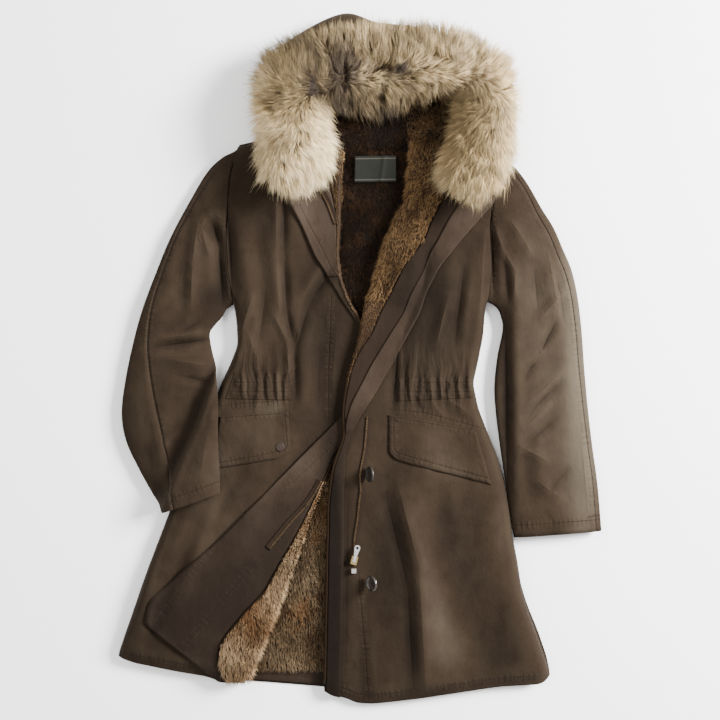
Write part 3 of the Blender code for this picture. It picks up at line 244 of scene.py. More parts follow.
# The gathers at the waist: where, how far each runs up and down, its width and its height.
GATHERS_RIGHT = columns(
    "at level up down width height tilt",
    (-196, 396, 34, 18, 4.5, 1.8, 0.1), (-182, 398, 46, 20, 4.5, 2.2, 0.04),
    (-170, 400, 58, 30, 4.6, 4, -0.03), (-160, 400, 44, 22, 3.6, -3.2, -0.05),
    (-152, 402, 40, 34, 4.2, 3.8, 0.06), (-144, 404, 24, 24, 3.2, -2.8, 0.1),
    (-138, 400, 62, 20, 3.8, 3.8, 0.02), (-130, 402, 30, 28, 3.2, -3.6, 0.08),
    (-123, 398, 52, 24, 3.8, 3.8, -0.08), (-188, 400, 26, 14, 3.4, -1.6, 0.05))
GATHERS_LEFT = columns(
    "at level up down width height tilt",
    (70, 402, 46, 18, 4, 2.6, 0.05), (77, 402, 70, 20, 3.6, -3, 0.02),
    (86, 404, 58, 18, 3.8, 3.2, 0), (96, 404, 34, 26, 3.8, -3, -0.06),
    (104, 402, 82, 20, 3.4, 3, -0.03), (112, 404, 30, 18, 3.4, -3, 0.04),
    (120, 404, 40, 34, 4.2, 4, 0.08), (129, 402, 52, 16, 3.4, -3.4, 0),
    (137, 404, 34, 30, 3.6, 3.2, 0.1), (145, 402, 26, 26, 3.2, -3, 0.05),
    (152, 402, 74, 18, 3.8, 3.6, -0.05), (160, 404, 30, 32, 3.6, -3.2, 0.12),
    (168, 402, 44, 22, 3.6, 3.2, 0.1), (177, 402, 24, 20, 3.4, -2.4, 0),
    (186, 404, 50, 18, 4, 3, 0.02))

# How the cloth has faded or darkened, with painted light and shade among the fades: lighter where the
# key light falls, as on the left sleeve's outer side, and darker in the armpits, in folds and along
# the left front's rolled edge; where, how wide and tall, and by how much.
FADES_AND_PAINTED_LIGHT = columns(
    "x level wide tall amount",
    (-150, 230, 40, 120, 0.15), (-66, 300, 40, 100, -0.36), (-20, 240, 30, 80, -0.1),
    (-165, 480, 66, 52, 0.22), (-245, 530, 40, 60, 0.2), (-330, 800, 60, 90, -0.25),
    (-225, 640, 60, 70, 0.22), (-330, 250, 40, 120, 0.05), (-360, 470, 40, 90, -0.12),
    (-265, 200, 26, 80, 0.2), (-228, 210, 12, 60, -0.45), (190, 230, 40, 80, 0.1),
    (290, 180, 60, 110, 0.3), (310, 400, 60, 150, 0.35), (366, 330, 24, 240, 1),
    (385, 560, 26, 120, 0.6), (246, 420, 11, 200, -0.45), (110, 270, 66, 120, -0.5),
    (-46, 720, 18, 230, -1.1), (-130, 400, 12, 30, 0.25), (-45, 480, 14, 60, -0.2),
    (-12, 620, 8, 130, 0.1), (-180, 780, 60, 90, -0.3), (-100, 560, 40, 60, 0.05),
    (90, 400, 50, 50, -0.1), (120, 488, 60, 40, 0.22), (155, 540, 50, 30, 0.3),
    (92, 630, 20, 50, 0.25), (112, 705, 20, 56, 0.3), (134, 785, 24, 56, 0.36),
    (152, 850, 34, 50, 0.36), (56, 700, 24, 120, -0.35), (88, 850, 18, 66, -0.45),
    (150, 640, 20, 50, -0.26), (178, 720, 24, 60, -0.28), (236, 845, 40, 50, -0.35),
    (240, 640, 24, 60, 0.28), (-250, 246, 22, 36, -0.5), (-146, 142, 26, 36, -0.45),
    (-146, 436, 30, 14, 0.3))

# Casings: corners (x, level), and the levels of their two stitched rows.
CASING_RIGHT = ((-208, 376), (-116, 378), (-114, 424), (-224, 422))
CASING_LEFT = ((62, 388), (190, 384), (194, 420), (62, 426))
CASING_ROWS = (395.0, 411.0)
FLAP_CLOTH = 2.4
FLAP_RIGHT = ((-234, 452), (-118, 443), (-113, 518), (-244, 540))
FLAP_LEFT = ((49, 449), (196, 474), (222, 566), (50, 522))


def smooth(value: Array) -> Array:
    """0 below 0, 1 above 1, and the soft step 3 v^2 - 2 v^3 between."""
    value = np.clip(value, 0.0, 1.0)
    return value * value * (3.0 - 2.0 * value)


def curl(depth: Array, reach: float = CURL) -> Array:
    """Height of a rounded edge: a quarter circle, from 0 at depth 0 to 1 at its reach."""
    inner = 1.0 - np.clip(depth / reach, 0.0, 1.0)
    return np.sqrt(1.0 - inner * inner)


def steps(count: int, first: float = 0.0, last: float = 1.0) -> Array:
    """A row of even steps from first to last."""
    return np.linspace(first, last, count)[None, :]


def between(first: Array, last: Array, part: Array) -> Array:
    """What lies part of the way from first to last."""
    return first + (last - first) * part


def spot(x: Array, level: Array, height: Array | float) -> Array:
    """Working points from places on the coat and heights."""
    return np.stack([x, -level, height + 0 * x], -1)


def raised(grid: Array, rise: Array | float) -> Array:
    """A grid of working points, moved up."""
    return spot(grid[..., 0], -grid[..., 1], grid[..., 2] + rise)


def above(line: Table, rise: float) -> Array:
    """Points of x and level along an outline, so far up from it."""
    return np.stack([line["x"], line["level"] - rise], -1)


def near_neck(x: Array) -> Array:
    """1 where the neck is cut, 0 out along the shoulders."""
    return smooth(1.0 - (np.abs(x - NECK_MIDDLE) - NECK_HALF) / 30.0)


def bend(level: Array, x: Array, top: Table, hem: Table) -> Array:
    """The real level of a row: the top rows follow one outline and the hem rows another."""
    over = read(top, "level", x, "x")
    under = read(hem, "level", x, "x")
    yoke = over + (YOKE - over) * level / YOKE
    skirt = WAIST + (level - WAIST) * (under - WAIST) / (HEM - WAIST)
    return np.where(level < YOKE, yoke, np.where(level > WAIST, skirt, level))


def creased(x: Array, level: Array, creases: Table) -> Array:
    """The sum of the creases' heights: each is h exp(-(d / w)^2), tapered to its ends."""
    extra = 0.0 * x
    for x0, l0, x1, l1, width, height in zip(*creases.values()):
        along = ((x - x0) * (x1 - x0) + (level - l0) * (l1 - l0)) / ((x1 - x0) ** 2 + (l1 - l0) ** 2)
        along = np.clip(along, 0, 1)
        away = np.hypot(x - x0 - along * (x1 - x0), level - l0 - along * (l1 - l0))
        taper = np.sin(math.pi * (0.12 + 0.76 * along))
        extra = extra + height * np.exp(-(away / width) ** 2) * taper
    return extra


def billow(x: Array, level: Array, scale: float, seed: int) -> Array:
    """Smooth noise from -1 to 1: random heights on a lattice, joined by soft steps."""
    rng = np.random.default_rng(seed)
    lattice = rng.uniform(-1, 1, (64, 64))
    u, v = x / scale + 31.3, level / scale + 17.7
    i, j = np.floor(u).astype(int), np.floor(v).astype(int)
    fu, fv = smooth(u - i), smooth(v - j)
    a, b = lattice[i % 64, j % 64], lattice[(i + 1) % 64, j % 64]
    c, d = lattice[i % 64, (j + 1) % 64], lattice[(i + 1) % 64, (j + 1) % 64]
    return (a * (1 - fu) + b * fu) * (1 - fv) + (c * (1 - fu) + d * fu) * fv


def waved(base: Array | float, x: Array, level: Array, waves: tuple) -> Array:
    """A value with smooth noise of several sizes added: rows of amount, scale and seed."""
    for amount, scale, seed in waves:
        base = base + amount * billow(x, level, scale, seed)
    return base


def swell(x: Array, level: Array) -> Array:
    """How the skin of the back's lining rises and falls."""
    return waved(0.0, x, level, ((1.4, 34, 11), (0.8, 13, 12)))


def patched(base: Array | float, x: Array, level: Array, patches: Table,
            key: str = "amount") -> Array:
    """A value with soft patches added: each is amount exp(-(dx / wide)^2 - (dl / tall)^2).

    Args:
        base: the value before them.
        x: places across the coat.
        level: places down it.
        patches: a table of x, level, wide, tall and amounts.
        key: the column that holds the amounts.

    Returns:
        The sum.
    """
    for at, row, wide, tall, amount in zip(*(patches[n] for n in ("x", "level", "wide", "tall", key))):
        base = base + amount * np.exp(-((x - at) / wide) ** 2 - ((level - row) / tall) ** 2)
    return base


def dye_and_painted_light(x: Array, level: Array) -> Array:
    """How light the cloth is over the coat: 1, with three sizes of noise and the fades, which also
    hold painted light and shade.
    """
    tone = waved(1.0, x, level, ((0.07, 74, 71), (0.05, 27, 72), (0.03, 11, 73)))
    return np.clip(patched(tone, x, level, FADES_AND_PAINTED_LIGHT), 0.35, 2.2)


def shirred(x: Array, level: Array) -> Array:
    """1 at the waist casings, fading up and down the front and past their ends."""
    past = level - 403
    fade = np.exp(-(past / np.where(past < 0, 52.0, 30.0)) ** 2)
    right = smooth((x + 216) / 26) * smooth((-104 - x) / 16)
    left = smooth((x - 54) / 14) * smooth((206 - x) / 20)
    return fade * np.maximum(right, left)


def crest_wear_and_shade(height: Array) -> Array:
    """How worn and how shaded a grid is: its height against the mean around it, 0 in a fold to 1 on a
    crest; the cloth is painted lighter on crests, as wear and painted highlight, and darker in folds,
    as painted shade.
    """
    mean = height
    for _ in range(7):
        for axis in (0, 1):
            padded = np.concatenate([mean.take([0], axis), mean, mean.take([-1], axis)], axis)
            inner = np.arange(1, padded.shape[axis] - 1)
            mean = 0.5 * mean + 0.25 * (padded.take(inner - 1, axis) + padded.take(inner + 1, axis))
    return np.clip(0.5 + (height - mean) / 2.4, 0.0, 1.0)


def tufts(place: Array, size: float, seed: int) -> tuple[Array, Array]:
    """The middle of the tuft that each place is in, and four random numbers of that tuft.

    Tufts are the cells nearest to points scattered one to a square of the given size.
    """
    rng = np.random.default_rng(seed)
    table = rng.uniform(0, 1, (101, 97, 6))
    cell = np.floor(place / size).astype(int)
    best = np.full(len(place), 1e9)
    middle, chance = np.zeros_like(place), np.zeros((len(place), 4))
    for step in ((i, j) for i in (-1, 0, 1) for j in (-1, 0, 1)):
        here = cell + np.array(step)
        values = table[here[:, 0] % 101, here[:, 1] % 97]
        point = (here + values[:, :2]) * size
        far = np.hypot(*(place - point).T)
        won = far < best
        best = np.where(won, far, best)
        middle = np.where(won[:, None], point, middle)
        chance = np.where(won[:, None], values[:, 2:], chance)
    return middle, chance


def catmull(rows: Array, count: int) -> Array:
    """Rows of numbers on a Catmull-Rom curve through the given rows."""
    rows = np.asarray(rows, float)
    padded = np.vstack([2 * rows[0] - rows[1], rows, 2 * rows[-1] - rows[-2]])
    t = (np.arange(count) / count)[None, :, None]
    a, b, c, d = (padded[k:k + len(rows) - 1, None, :] for k in range(4))
    curve = 0.5 * (2 * b + (c - a) * t + (2 * a - 5 * b + 4 * c - d) * t ** 2
                   + (3 * b - a - 3 * c + d) * t ** 3)
    return np.vstack([curve.reshape(-1, rows.shape[1]), rows[-1:]])


def unit(vectors: Array) -> Array:
    """Vectors made one long."""
    return vectors / np.maximum(np.linalg.norm(vectors, axis=-1, keepdims=True), 1e-9)


def grid_normals(points: Array) -> Array:
    """Normals of a grid of points, from its gradients, turned to face up."""
    normal = unit(np.cross(np.gradient(points, axis=1), np.gradient(points, axis=0)))
    return normal * np.where(normal[..., 2:] < 0, -1.0, 1.0)


def resampled(grid: Array, rows: Array, cols: Array) -> Array:
    """A grid read between its points, at fractional rows and columns."""
    i = np.clip(np.floor(rows).astype(int), 0, grid.shape[0] - 2)
    j = np.clip(np.floor(cols).astype(int), 0, grid.shape[1] - 2)
    u, v = (rows - i)[..., None], (cols - j)[..., None]
    near = grid[i, j] * (1 - v) + grid[i, j + 1] * v
    far = grid[i + 1, j] * (1 - v) + grid[i + 1, j + 1] * v
    return near * (1 - u) + far * u


class Ground:
    """How high the pieces laid so far stand, on a fine square grid over the floor."""

    CELL = 2.0
    FINE = 0.25
    LOW = np.array([-440.0, -960.0])
    SHAPE = (440, 620)

    def __init__(self) -> None:
        """Starts with a bare floor."""
        self.height = np.zeros(self.SHAPE)

    def add(self, points: Array) -> None:
        """Lays a grid of working points on the map: each cell keeps its highest."""
        rows = np.arange(0, points.shape[0] - 0.99, self.FINE)[:, None]
        cols = np.arange(0, points.shape[1] - 0.99, self.FINE)[None, :]
        dense = resampled(points, rows + 0 * cols, cols + 0 * rows).reshape(-1, 3)
        cell = np.round((dense[:, :2] - self.LOW) / self.CELL).astype(int)
        inside = (cell >= 0).all(1) & (cell < self.SHAPE).all(1)
        np.maximum.at(self.height, tuple(cell[inside].T), dense[inside, 2])

    def cover(self, reach: float, soften: float) -> Array:
        """The map grown outwards by reach, then blurred over soften."""
        grown = self.height.copy()
        span = int(round(reach / self.CELL))
        for axis in (0, 1):
            for step in range(1, span + 1):
                grown = np.maximum(grown, np.roll(self.height, step, axis))
                grown = np.maximum(grown, np.roll(self.height, -step, axis))
            so_far = grown
            for step in range(1, span + 1):
                grown = np.maximum(grown, np.roll(so_far, step, 1 - axis))
        for _ in range(max(0, int(soften / self.CELL))):
            for axis in (0, 1):
                grown = 0.5 * grown + 0.25 * (np.roll(grown, 1, axis) + np.roll(grown, -1, axis))
        return grown

    def under(self, x: Array, y: Array, field: Array) -> Array:
        """A map's height below working points x and y, read between its cells."""
        u = (x - self.LOW[0]) / self.CELL
        v = (y - self.LOW[1]) / self.CELL
        return resampled(field[..., None], u + 0 * v, v + 0 * u)[..., 0]


@dataclass
class Seam:
    """A sewn line on the coat, as points of x and level, and how dark its groove is."""

    points: tuple | Array
    dark: float = 0.4


def beside(x: Array, level: Array, start: tuple, end: tuple) -> tuple[Array, Array, Array, float]:
    """Signed distance to a line, the way along it, the plain distance, and its length."""
    length = math.hypot(end[0] - start[0], end[1] - start[1])
    ux, ul = (end[0] - start[0]) / length, (end[1] - start[1]) / length
    x, level = x - start[0], level - start[1]
    along = np.clip(x * ux + level * ul, 0, length)
    away = np.hypot(x - along * ux, level - along * ul)
    return np.where(x * ul - level * ux < 0, -away, away), along, away, length


def nearer(found: Array, *parts: Array | float) -> Array:
    """Of two fields, the nearer at each point, by the distance that each holds last."""
    new = np.stack([part + 0 * found[..., 0] for part in parts], -1)
    return np.where(new[..., 3:] < found[..., 3:], new, found)


def seam_field(x: Array, level: Array, seams: list[Seam]) -> Array:
    """Signed distance to the nearest sewn line, way along it, its darkness, plain distance."""
    found = np.stack([0 * x + FAR, 0 * x, 0 * x, 0 * x + FAR], -1)
    for seam in seams:
        gone = 0.0
        for start, end in zip(seam.points[:-1], seam.points[1:]):
            signed, along, away, length = beside(x, level, start, end)
            found = nearer(found, signed, along + gone, seam.dark, away)
            gone += length
    return found


def crease_field(x: Array, level: Array, creases: Table | None) -> Array:
    """Signed distance to the nearest crisp crease, its height there, 0, and plain distance."""
    found = np.stack([0 * x + FAR, 0 * x, 0 * x, 0 * x + FAR], -1)
    for x0, l0, x1, l1, width, height in zip(*(creases or {}).values()):
        if width <= CRISP:
            signed, along, away, length = beside(x, level, (x0, l0), (x1, l1))
            tall = height * np.sin(math.pi * (0.06 + 0.88 * along / length))
            found = nearer(found, signed, tall, 0.0, away)
    return found


def linked(name: str, data: bpy.types.ID) -> Object:
    """An object in the scene, made of a mesh, a light or a camera."""
    made = bpy.data.objects.new(name, data)
    bpy.context.scene.collection.objects.link(made)
    return made


def mesh_object(name: str, points: Array, faces: Array) -> Object:
    """A mesh object from arrays of points in metres and of equal sided faces."""
    mesh = bpy.data.meshes.new(name)
    mesh.vertices.add(len(points))
    mesh.vertices.foreach_set("co", np.ascontiguousarray(points, np.float32).ravel())
    mesh.loops.add(faces.size)
    mesh.loops.foreach_set("vertex_index", np.ascontiguousarray(faces, np.int32).ravel())
    mesh.polygons.add(len(faces))
    mesh.polygons.foreach_set("loop_start", np.arange(0, faces.size, faces.shape[1], dtype=np.int32))
    mesh.update(calc_edges=True)
    mesh.validate()
    mesh.shade_smooth()
    return linked(name, mesh)


def in_frame(points: Array) -> Array:
    """Working points as metres in the coat's own frame."""
    return (points + np.array([-CENTRE_X, NAPE_Y, 0.0])) * MM


def colour_attribute(made: Object, name: str, values: Array) -> None:
    """Stores four numbers a vertex under a name."""
    made.data.attributes.new(name, "FLOAT_COLOR", "POINT")
    made.data.attributes[name].data.foreach_set("color", values.astype(np.float32).ravel())


def wall(name: str, outer: Array, inner: Array, seams: list[Seam] | None = None,
         tone: Array | float = 1.0, creases: Table | None = None) -> Object:
    """A closed wall between two grids, with a cloth map and its seams' distances.

    The map's u is the length along each row and v the length down the middle column.

    Args:
        name: the piece's name.
        outer: rows by columns of working points on the right side.
        inner: the same on the wrong side.
        seams: the sewn lines that show on it.
        tone: how light the cloth is, before its fades and their painted light and shade.
        creases: the folds that run over it.

    Returns:
        The mesh object, with its faces pointing outwards.
    """
    rows, across = outer.shape[:2]
    index = np.arange(rows * across).reshape(rows, across)
    quads = np.stack([index[:-1, :-1], index[:-1, 1:], index[1:, 1:], index[1:, :-1]], -1)
    quads = quads.reshape(-1, 4)
    shift = rows * across
    loop = np.concatenate([index[0, :-1], index[:-1, -1], index[-1, :0:-1], index[:0:-1, 0]])
    after = np.roll(loop, -1)
    rim = np.stack([loop, loop + shift, after + shift, after], -1)
    faces = np.concatenate([quads, quads[:, ::-1] + shift, rim])
    points = in_frame(np.concatenate([outer.reshape(-1, 3), inner.reshape(-1, 3)]))
    corner = points[faces]
    volume = np.sum(np.cross(corner[:, 0], corner[:, 1]) * corner[:, 2])
    volume += np.sum(np.cross(corner[:, 0], corner[:, 2]) * corner[:, 3])
    if volume < 0:
        faces = faces[:, ::-1]
    made = mesh_object(name, points, faces)
    step_u = np.linalg.norm(np.diff(outer, axis=1), axis=-1)
    u = np.hstack([np.zeros((rows, 1)), np.cumsum(step_u, axis=1)])
    u = u - u[:, across // 2:across // 2 + 1]
    step_v = np.linalg.norm(np.diff(outer[:, across // 2], axis=0), axis=-1)
    v = np.concatenate([[0.0], np.cumsum(step_v)])[:, None] + 0 * u
    flat = np.tile(np.stack([u, v], -1).reshape(-1, 2) * MM, (2, 1))
    layer = made.data.uv_layers.new(name="cloth")
    order = np.empty(len(made.data.loops), np.int32)
    made.data.loops.foreach_get("vertex_index", order)
    layer.data.foreach_set("uv", flat[order].astype(np.float32).ravel())
    x, level = outer[..., 0], -outer[..., 1]
    # Crest measure (wear and painted shade), the dye with its painted light and shade, and the
    # gathers.
    state = np.stack([crest_wear_and_shade(outer[..., 2]), tone * dye_and_painted_light(x, level), shirred(x, level), 0 * u + 1], -1)
    for key, field in (("seam", seam_field(x, level, seams or [])),
                       ("fold", crease_field(x, level, creases)), ("state", state)):
        colour_attribute(made, key, np.tile(field.reshape(-1, 4), (2, 1)))
    return made


def area_of(grid: Array) -> float:
    """Area of a grid of working points, in square metres."""
    a = np.cross(grid[1:, :-1] - grid[:-1, :-1], grid[:-1, 1:] - grid[:-1, :-1])
    b = np.cross(grid[1:, :-1] - grid[1:, 1:], grid[:-1, 1:] - grid[1:, 1:])
    return float((np.linalg.norm(a, axis=-1) + np.linalg.norm(b, axis=-1)).sum() / 2) * MM * MM


# --- node trees ----------------------------------------------------------------------
COLOUR = "NodeSocketColor"
NUMBER = "NodeSocketFloat"


class Net:
    """A node tree with short calls that add nodes and join them."""

    def __init__(self, tree: bpy.types.NodeTree) -> None:
        """Keeps the tree."""
        self.tree = tree

    def put(self, socket: Socket, value: object) -> None:
        """Links a socket to a value, or sets it."""
        if isinstance(value, Socket):
            self.tree.links.new(value, socket)
        elif isinstance(value, tuple) and len(value) == 3 and socket.type == "RGBA":
            socket.default_value = (*value, 1.0)
        else:
            socket.default_value = value

    def fill(self, node: Node, *values: object, **inputs: object) -> Node:
        """Sets a node's first inputs in order, and others by name (_ stands for a space)."""
        for socket, value in zip(node.inputs, values):
            self.put(socket, value)
        for name, value in inputs.items():
            self.put(node.inputs[name.replace("_", " ")], value)
        return node

    def add(self, kind: str, *values: object, settings: dict | None = None,
            **inputs: object) -> Node:
        """A shader node of a kind, with its settings and its inputs."""
        node = self.tree.nodes.new("ShaderNode" + kind)
        for name, value in (settings or {}).items():
            setattr(node, name, value)
        return self.fill(node, *values, **inputs)

    def math(self, operation: str, *values: object, clamp: bool = False) -> Socket:
        """The output of a Math node."""
        settings = {"operation": operation, "use_clamp": clamp}
        return self.add("Math", *values, settings=settings).outputs[0]

    def times(self, first: object, second: object) -> Socket:
        """The product of two values."""
        return self.math("MULTIPLY", first, second)

    def mix(self, part: object, first: object, second: object,
            blend: str = "MIX") -> Socket:
        """The output of a colour Mix node."""
        node = self.add("Mix", part, settings={"data_type": "RGBA", "blend_type": blend})
        self.put(node.inputs[6], first)
        self.put(node.inputs[7], second)
        return node.outputs[2]

    def ramp(self, value: object, low: object, high: object,
             to_low: float = 0.0, to_high: float = 1.0) -> Socket:
        """A value carried smoothly from one range to another."""
        return self.add("MapRange", value, low, high, to_low, to_high,
                        settings={"interpolation_type": "SMOOTHSTEP"}).outputs[0]

    def noise(self, vector: object, scale: object, detail: float = 3.0,
              rough: float = 0.55) -> Socket:
        """The value of a Noise Texture."""
        return self.add("TexNoise", Vector=vector, Scale=scale, Detail=detail,
                        Roughness=rough).outputs[0]

    def mapped(self, vector: object, scale: tuple, turn: float = 0.0) -> Socket:
        """Coordinates stretched by a scale and turned about Z."""
        return self.add("Mapping", Vector=vector, Scale=scale, Rotation=(0.0, 0.0, turn)).outputs[0]

    def grey(self, value: object) -> Socket:
        """A value as a colour."""
        return self.add("CombineColor", value, value, value).outputs[0]

    def bump(self, height: object, distance: float, normal: object = None,
             strength: float = 1.0) -> Socket:
        """A normal tipped by the slopes of a height."""
        node = self.add("Bump", Height=height, Strength=strength, Distance=distance)
        if normal is not None:
            self.put(node.inputs["Normal"], normal)
        return node.outputs[0]

    def body(self) -> Socket:
        """The coat's own coordinates."""
        return self.add("TexCoord").outputs["Object"]

    def cloth(self) -> Socket:
        """The cloth's own map."""
        return self.add("UVMap", settings={"uv_map": "cloth"}).outputs[0]

    def attribute(self, name: str) -> tuple:
        """The four numbers of a colour attribute."""
        found = self.add("Attribute", settings={"attribute_name": name}).outputs
        return (*self.add("SeparateXYZ", found["Vector"]).outputs, found["Alpha"])

    def group(self, name: str, **inputs: object) -> bpy.types.NodeOutputs:
        """The outputs of a shared group."""
        return self.add("Group", settings={"node_tree": bpy.data.node_groups[name]}, **inputs).outputs


def new_group(name: str, inputs: dict, *outputs: str) -> tuple:
    """A shader node group.

    Args:
        name: the group's name.
        inputs: what each input starts from: four numbers for a colour, or one.
        outputs: the outputs' names. Color is a colour, and all others are numbers.

    Returns:
        Its net, the outputs of its input node, and its output node.
    """
    tree = bpy.data.node_groups.new(name, "ShaderNodeTree")
    for key, default in inputs.items():
        kind = COLOUR if isinstance(default, tuple) else NUMBER
        socket = tree.interface.new_socket(name=key, in_out="INPUT", socket_type=kind)
        socket.default_value = default
    for key in outputs:
        kind = COLOUR if key == "Color" else NUMBER
        tree.interface.new_socket(name=key, in_out="OUTPUT", socket_type=kind)
    given = tree.nodes.new("NodeGroupInput").outputs
    return Net(tree), given, tree.nodes.new("NodeGroupOutput")


def twill_group() -> None:
    """Diagonal twill lines, slubs and a washed-out mottle, from the cloth's own map."""
    net, given, out = new_group(
        "TwillCloth", {"Base": (0.1, 0.08, 0.06, 1), "Worn": (0.2, 0.16, 0.12, 1),
                       "Deep": (0.04, 0.03, 0.02, 1), "Mottle": 0.5}, "Color", "Height", "Roughness")
    cloth, body = net.cloth(), net.body()
    lines = net.add("TexWave", settings={"bands_direction": "X"},
                    Vector=net.mapped(cloth, (1, 1, 1), math.radians(58)), Scale=290.0,
                    Distortion=1.6, Detail=1.0, Detail_Scale=1.5).outputs[1]
    slub = net.noise(net.mapped(cloth, (260, 900, 1)), 1.0, 2.0)
    thread = net.noise(net.mapped(cloth, (900, 240, 1)), 1.0, 2.0)
    faded = net.noise(body, 11.0, 5.0, 0.6)
    blotch = net.noise(body, 42.0, 4.0, 0.65)
    worn = net.times(net.ramp(faded, 0.34, 0.7), given["Mottle"])
    tone = net.mix(worn, given["Base"], given["Worn"])
    tone = net.mix(net.times(net.ramp(blotch, 0.5, 0.8), 0.3), tone, given["Deep"])
    grain = net.math("ADD", net.times(slub, 0.5), net.times(thread, 0.5))
    tone = net.mix(net.ramp(grain, 0.42, 0.72, 0.0, 0.28), tone, given["Worn"])
    net.fill(out, tone, net.math("MULTIPLY_ADD", lines, 0.5, grain),
             net.ramp(grain, 0.3, 0.8, 0.94, 0.8))


def seam_group() -> None:
    """A sewn line from its signed distance: groove, puckers either side, and its thread."""
    net, given, out = new_group("SewnLine", {"Pucker": 1.0},
                                "Groove", "Thread", "Rubbed", "Height")
    signed, along, dark, plain = net.attribute("seam")
    close = net.ramp(plain, 5.5, 7.5, 1.0, 0.0)
    away = net.math("ABSOLUTE", signed)
    groove = net.times(net.ramp(away, 0.1, 1.7, 0.75, 0.0), close)
    flank = net.times(net.ramp(plain, 0.6, 2.4), net.ramp(plain, 4.0, 9.0, 1.0, 0.0))
    way = net.add("CombineXYZ", net.times(plain, 0.05), net.times(along, 0.2))
    ripple = net.noise(way.outputs[0], 1.0, 2.0, 0.6)
    rise = net.times(net.math("SUBTRACT", ripple, 0.42), flank)
    rise = net.times(rise, given["Pucker"])
    pitch = net.math("FRACT", net.math("DIVIDE", along, 3.4))
    pitch = net.math("ABSOLUTE", net.math("SUBTRACT", pitch, 0.5))
    thread = net.times(net.ramp(pitch, 0.3, 0.42, 1.0, 0.0), net.ramp(away, 0.3, 0.7, 1.0, 0.0))
    net.fill(out, net.times(groove, dark), net.times(thread, close),
             net.times(net.ramp(ripple, 0.45, 0.7), flank),
             net.math("SUBTRACT", rise, net.times(groove, 0.22)))


def gather_group() -> None:
    """Small uneven pleats that run down the coat, and the soft rumple of the whole cloth."""
    net, given, out = new_group("Gathers", {"Drawn": 0.0},
                                "Crest", "Valley", "Height", "Rumple", "Fold")
    signed, tall, _, plain = net.attribute("fold")
    near = net.math("DIVIDE", net.math("ABSOLUTE", signed), 5.5)
    near = net.math("POWER", net.math("SUBTRACT", 1.0, near, clamp=True), 2.0)
    near = net.times(near, net.ramp(plain, 4.5, 8.0, 1, 0))
    body, drawn = net.body(), given["Drawn"]
    bent = net.add("VectorMath", net.noise(body, 16.0, 1.0), (0.03, 0.0, 0.0), body,
                   settings={"operation": "MULTIPLY_ADD"}).outputs[0]
    pleat = net.noise(net.mapped(bent, (98, 13, 0)), 1.0, 1.5, 0.45)
    net.fill(out, net.times(net.ramp(pleat, 0.52, 0.68), drawn),
             net.times(net.ramp(pleat, 0.34, 0.48, 1, 0), drawn), net.times(pleat, drawn),
             net.noise(net.mapped(body, (24, 15, 10)), 1.0, 4.0, 0.58),
             net.times(near, tall))


def pelt_group() -> None:
    """A hair's colour: root, middle and tip by its own length, in patches over the skin."""
    net, given, out = new_group(
        "PeltHair", {"Root": (0.05, 0.03, 0.02, 1), "Middle": (0.3, 0.2, 0.1, 1),
                     "Tip": (0.6, 0.5, 0.4, 1), "Patch": (0.2, 0.15, 0.1, 1),
                     "Patch Scale": 20.0, "Patch Low": 0.5, "Patch High": 0.7}, "Color")
    reach, light, pale, grey = net.attribute("hair")
    patch = net.noise(net.body(), given["Patch Scale"], 3.0, 0.6)
    patch = net.ramp(patch, given["Patch Low"], given["Patch High"])
    # Roots are dark: partly the fur's own colour, partly painted shade deep among the hairs.
    tone = net.mix(net.ramp(reach, 0.05, 0.55), given["Root"], given["Middle"])
    tone = net.mix(net.math("MULTIPLY_ADD", patch, 0.7, grey, clamp=True), tone, given["Patch"])
    tone = net.mix(net.times(net.ramp(reach, 0.45, 1.0), pale), tone, given["Tip"])
    light = net.grey(net.ramp(light, 0.0, 1.0, 0.5, 1.4))
    net.fill(out, net.mix(1.0, tone, light, "MULTIPLY"))


@dataclass(frozen=True)
class Finish:
    """What a piece is made of: each kind paints its own material."""

    name: str

    def paint(self, net: Net, shader: Node) -> None:
        """Leaves the shader as it is."""

    def material(self) -> bpy.types.Material:
        """The material, made once."""
        known = bpy.data.materials.get(self.name)
        if known:
            return known
        made = bpy.data.materials.new(self.name)
        made.use_nodes = True
        self.paint(Net(made.node_tree), made.node_tree.nodes["Principled BSDF"])
        return made


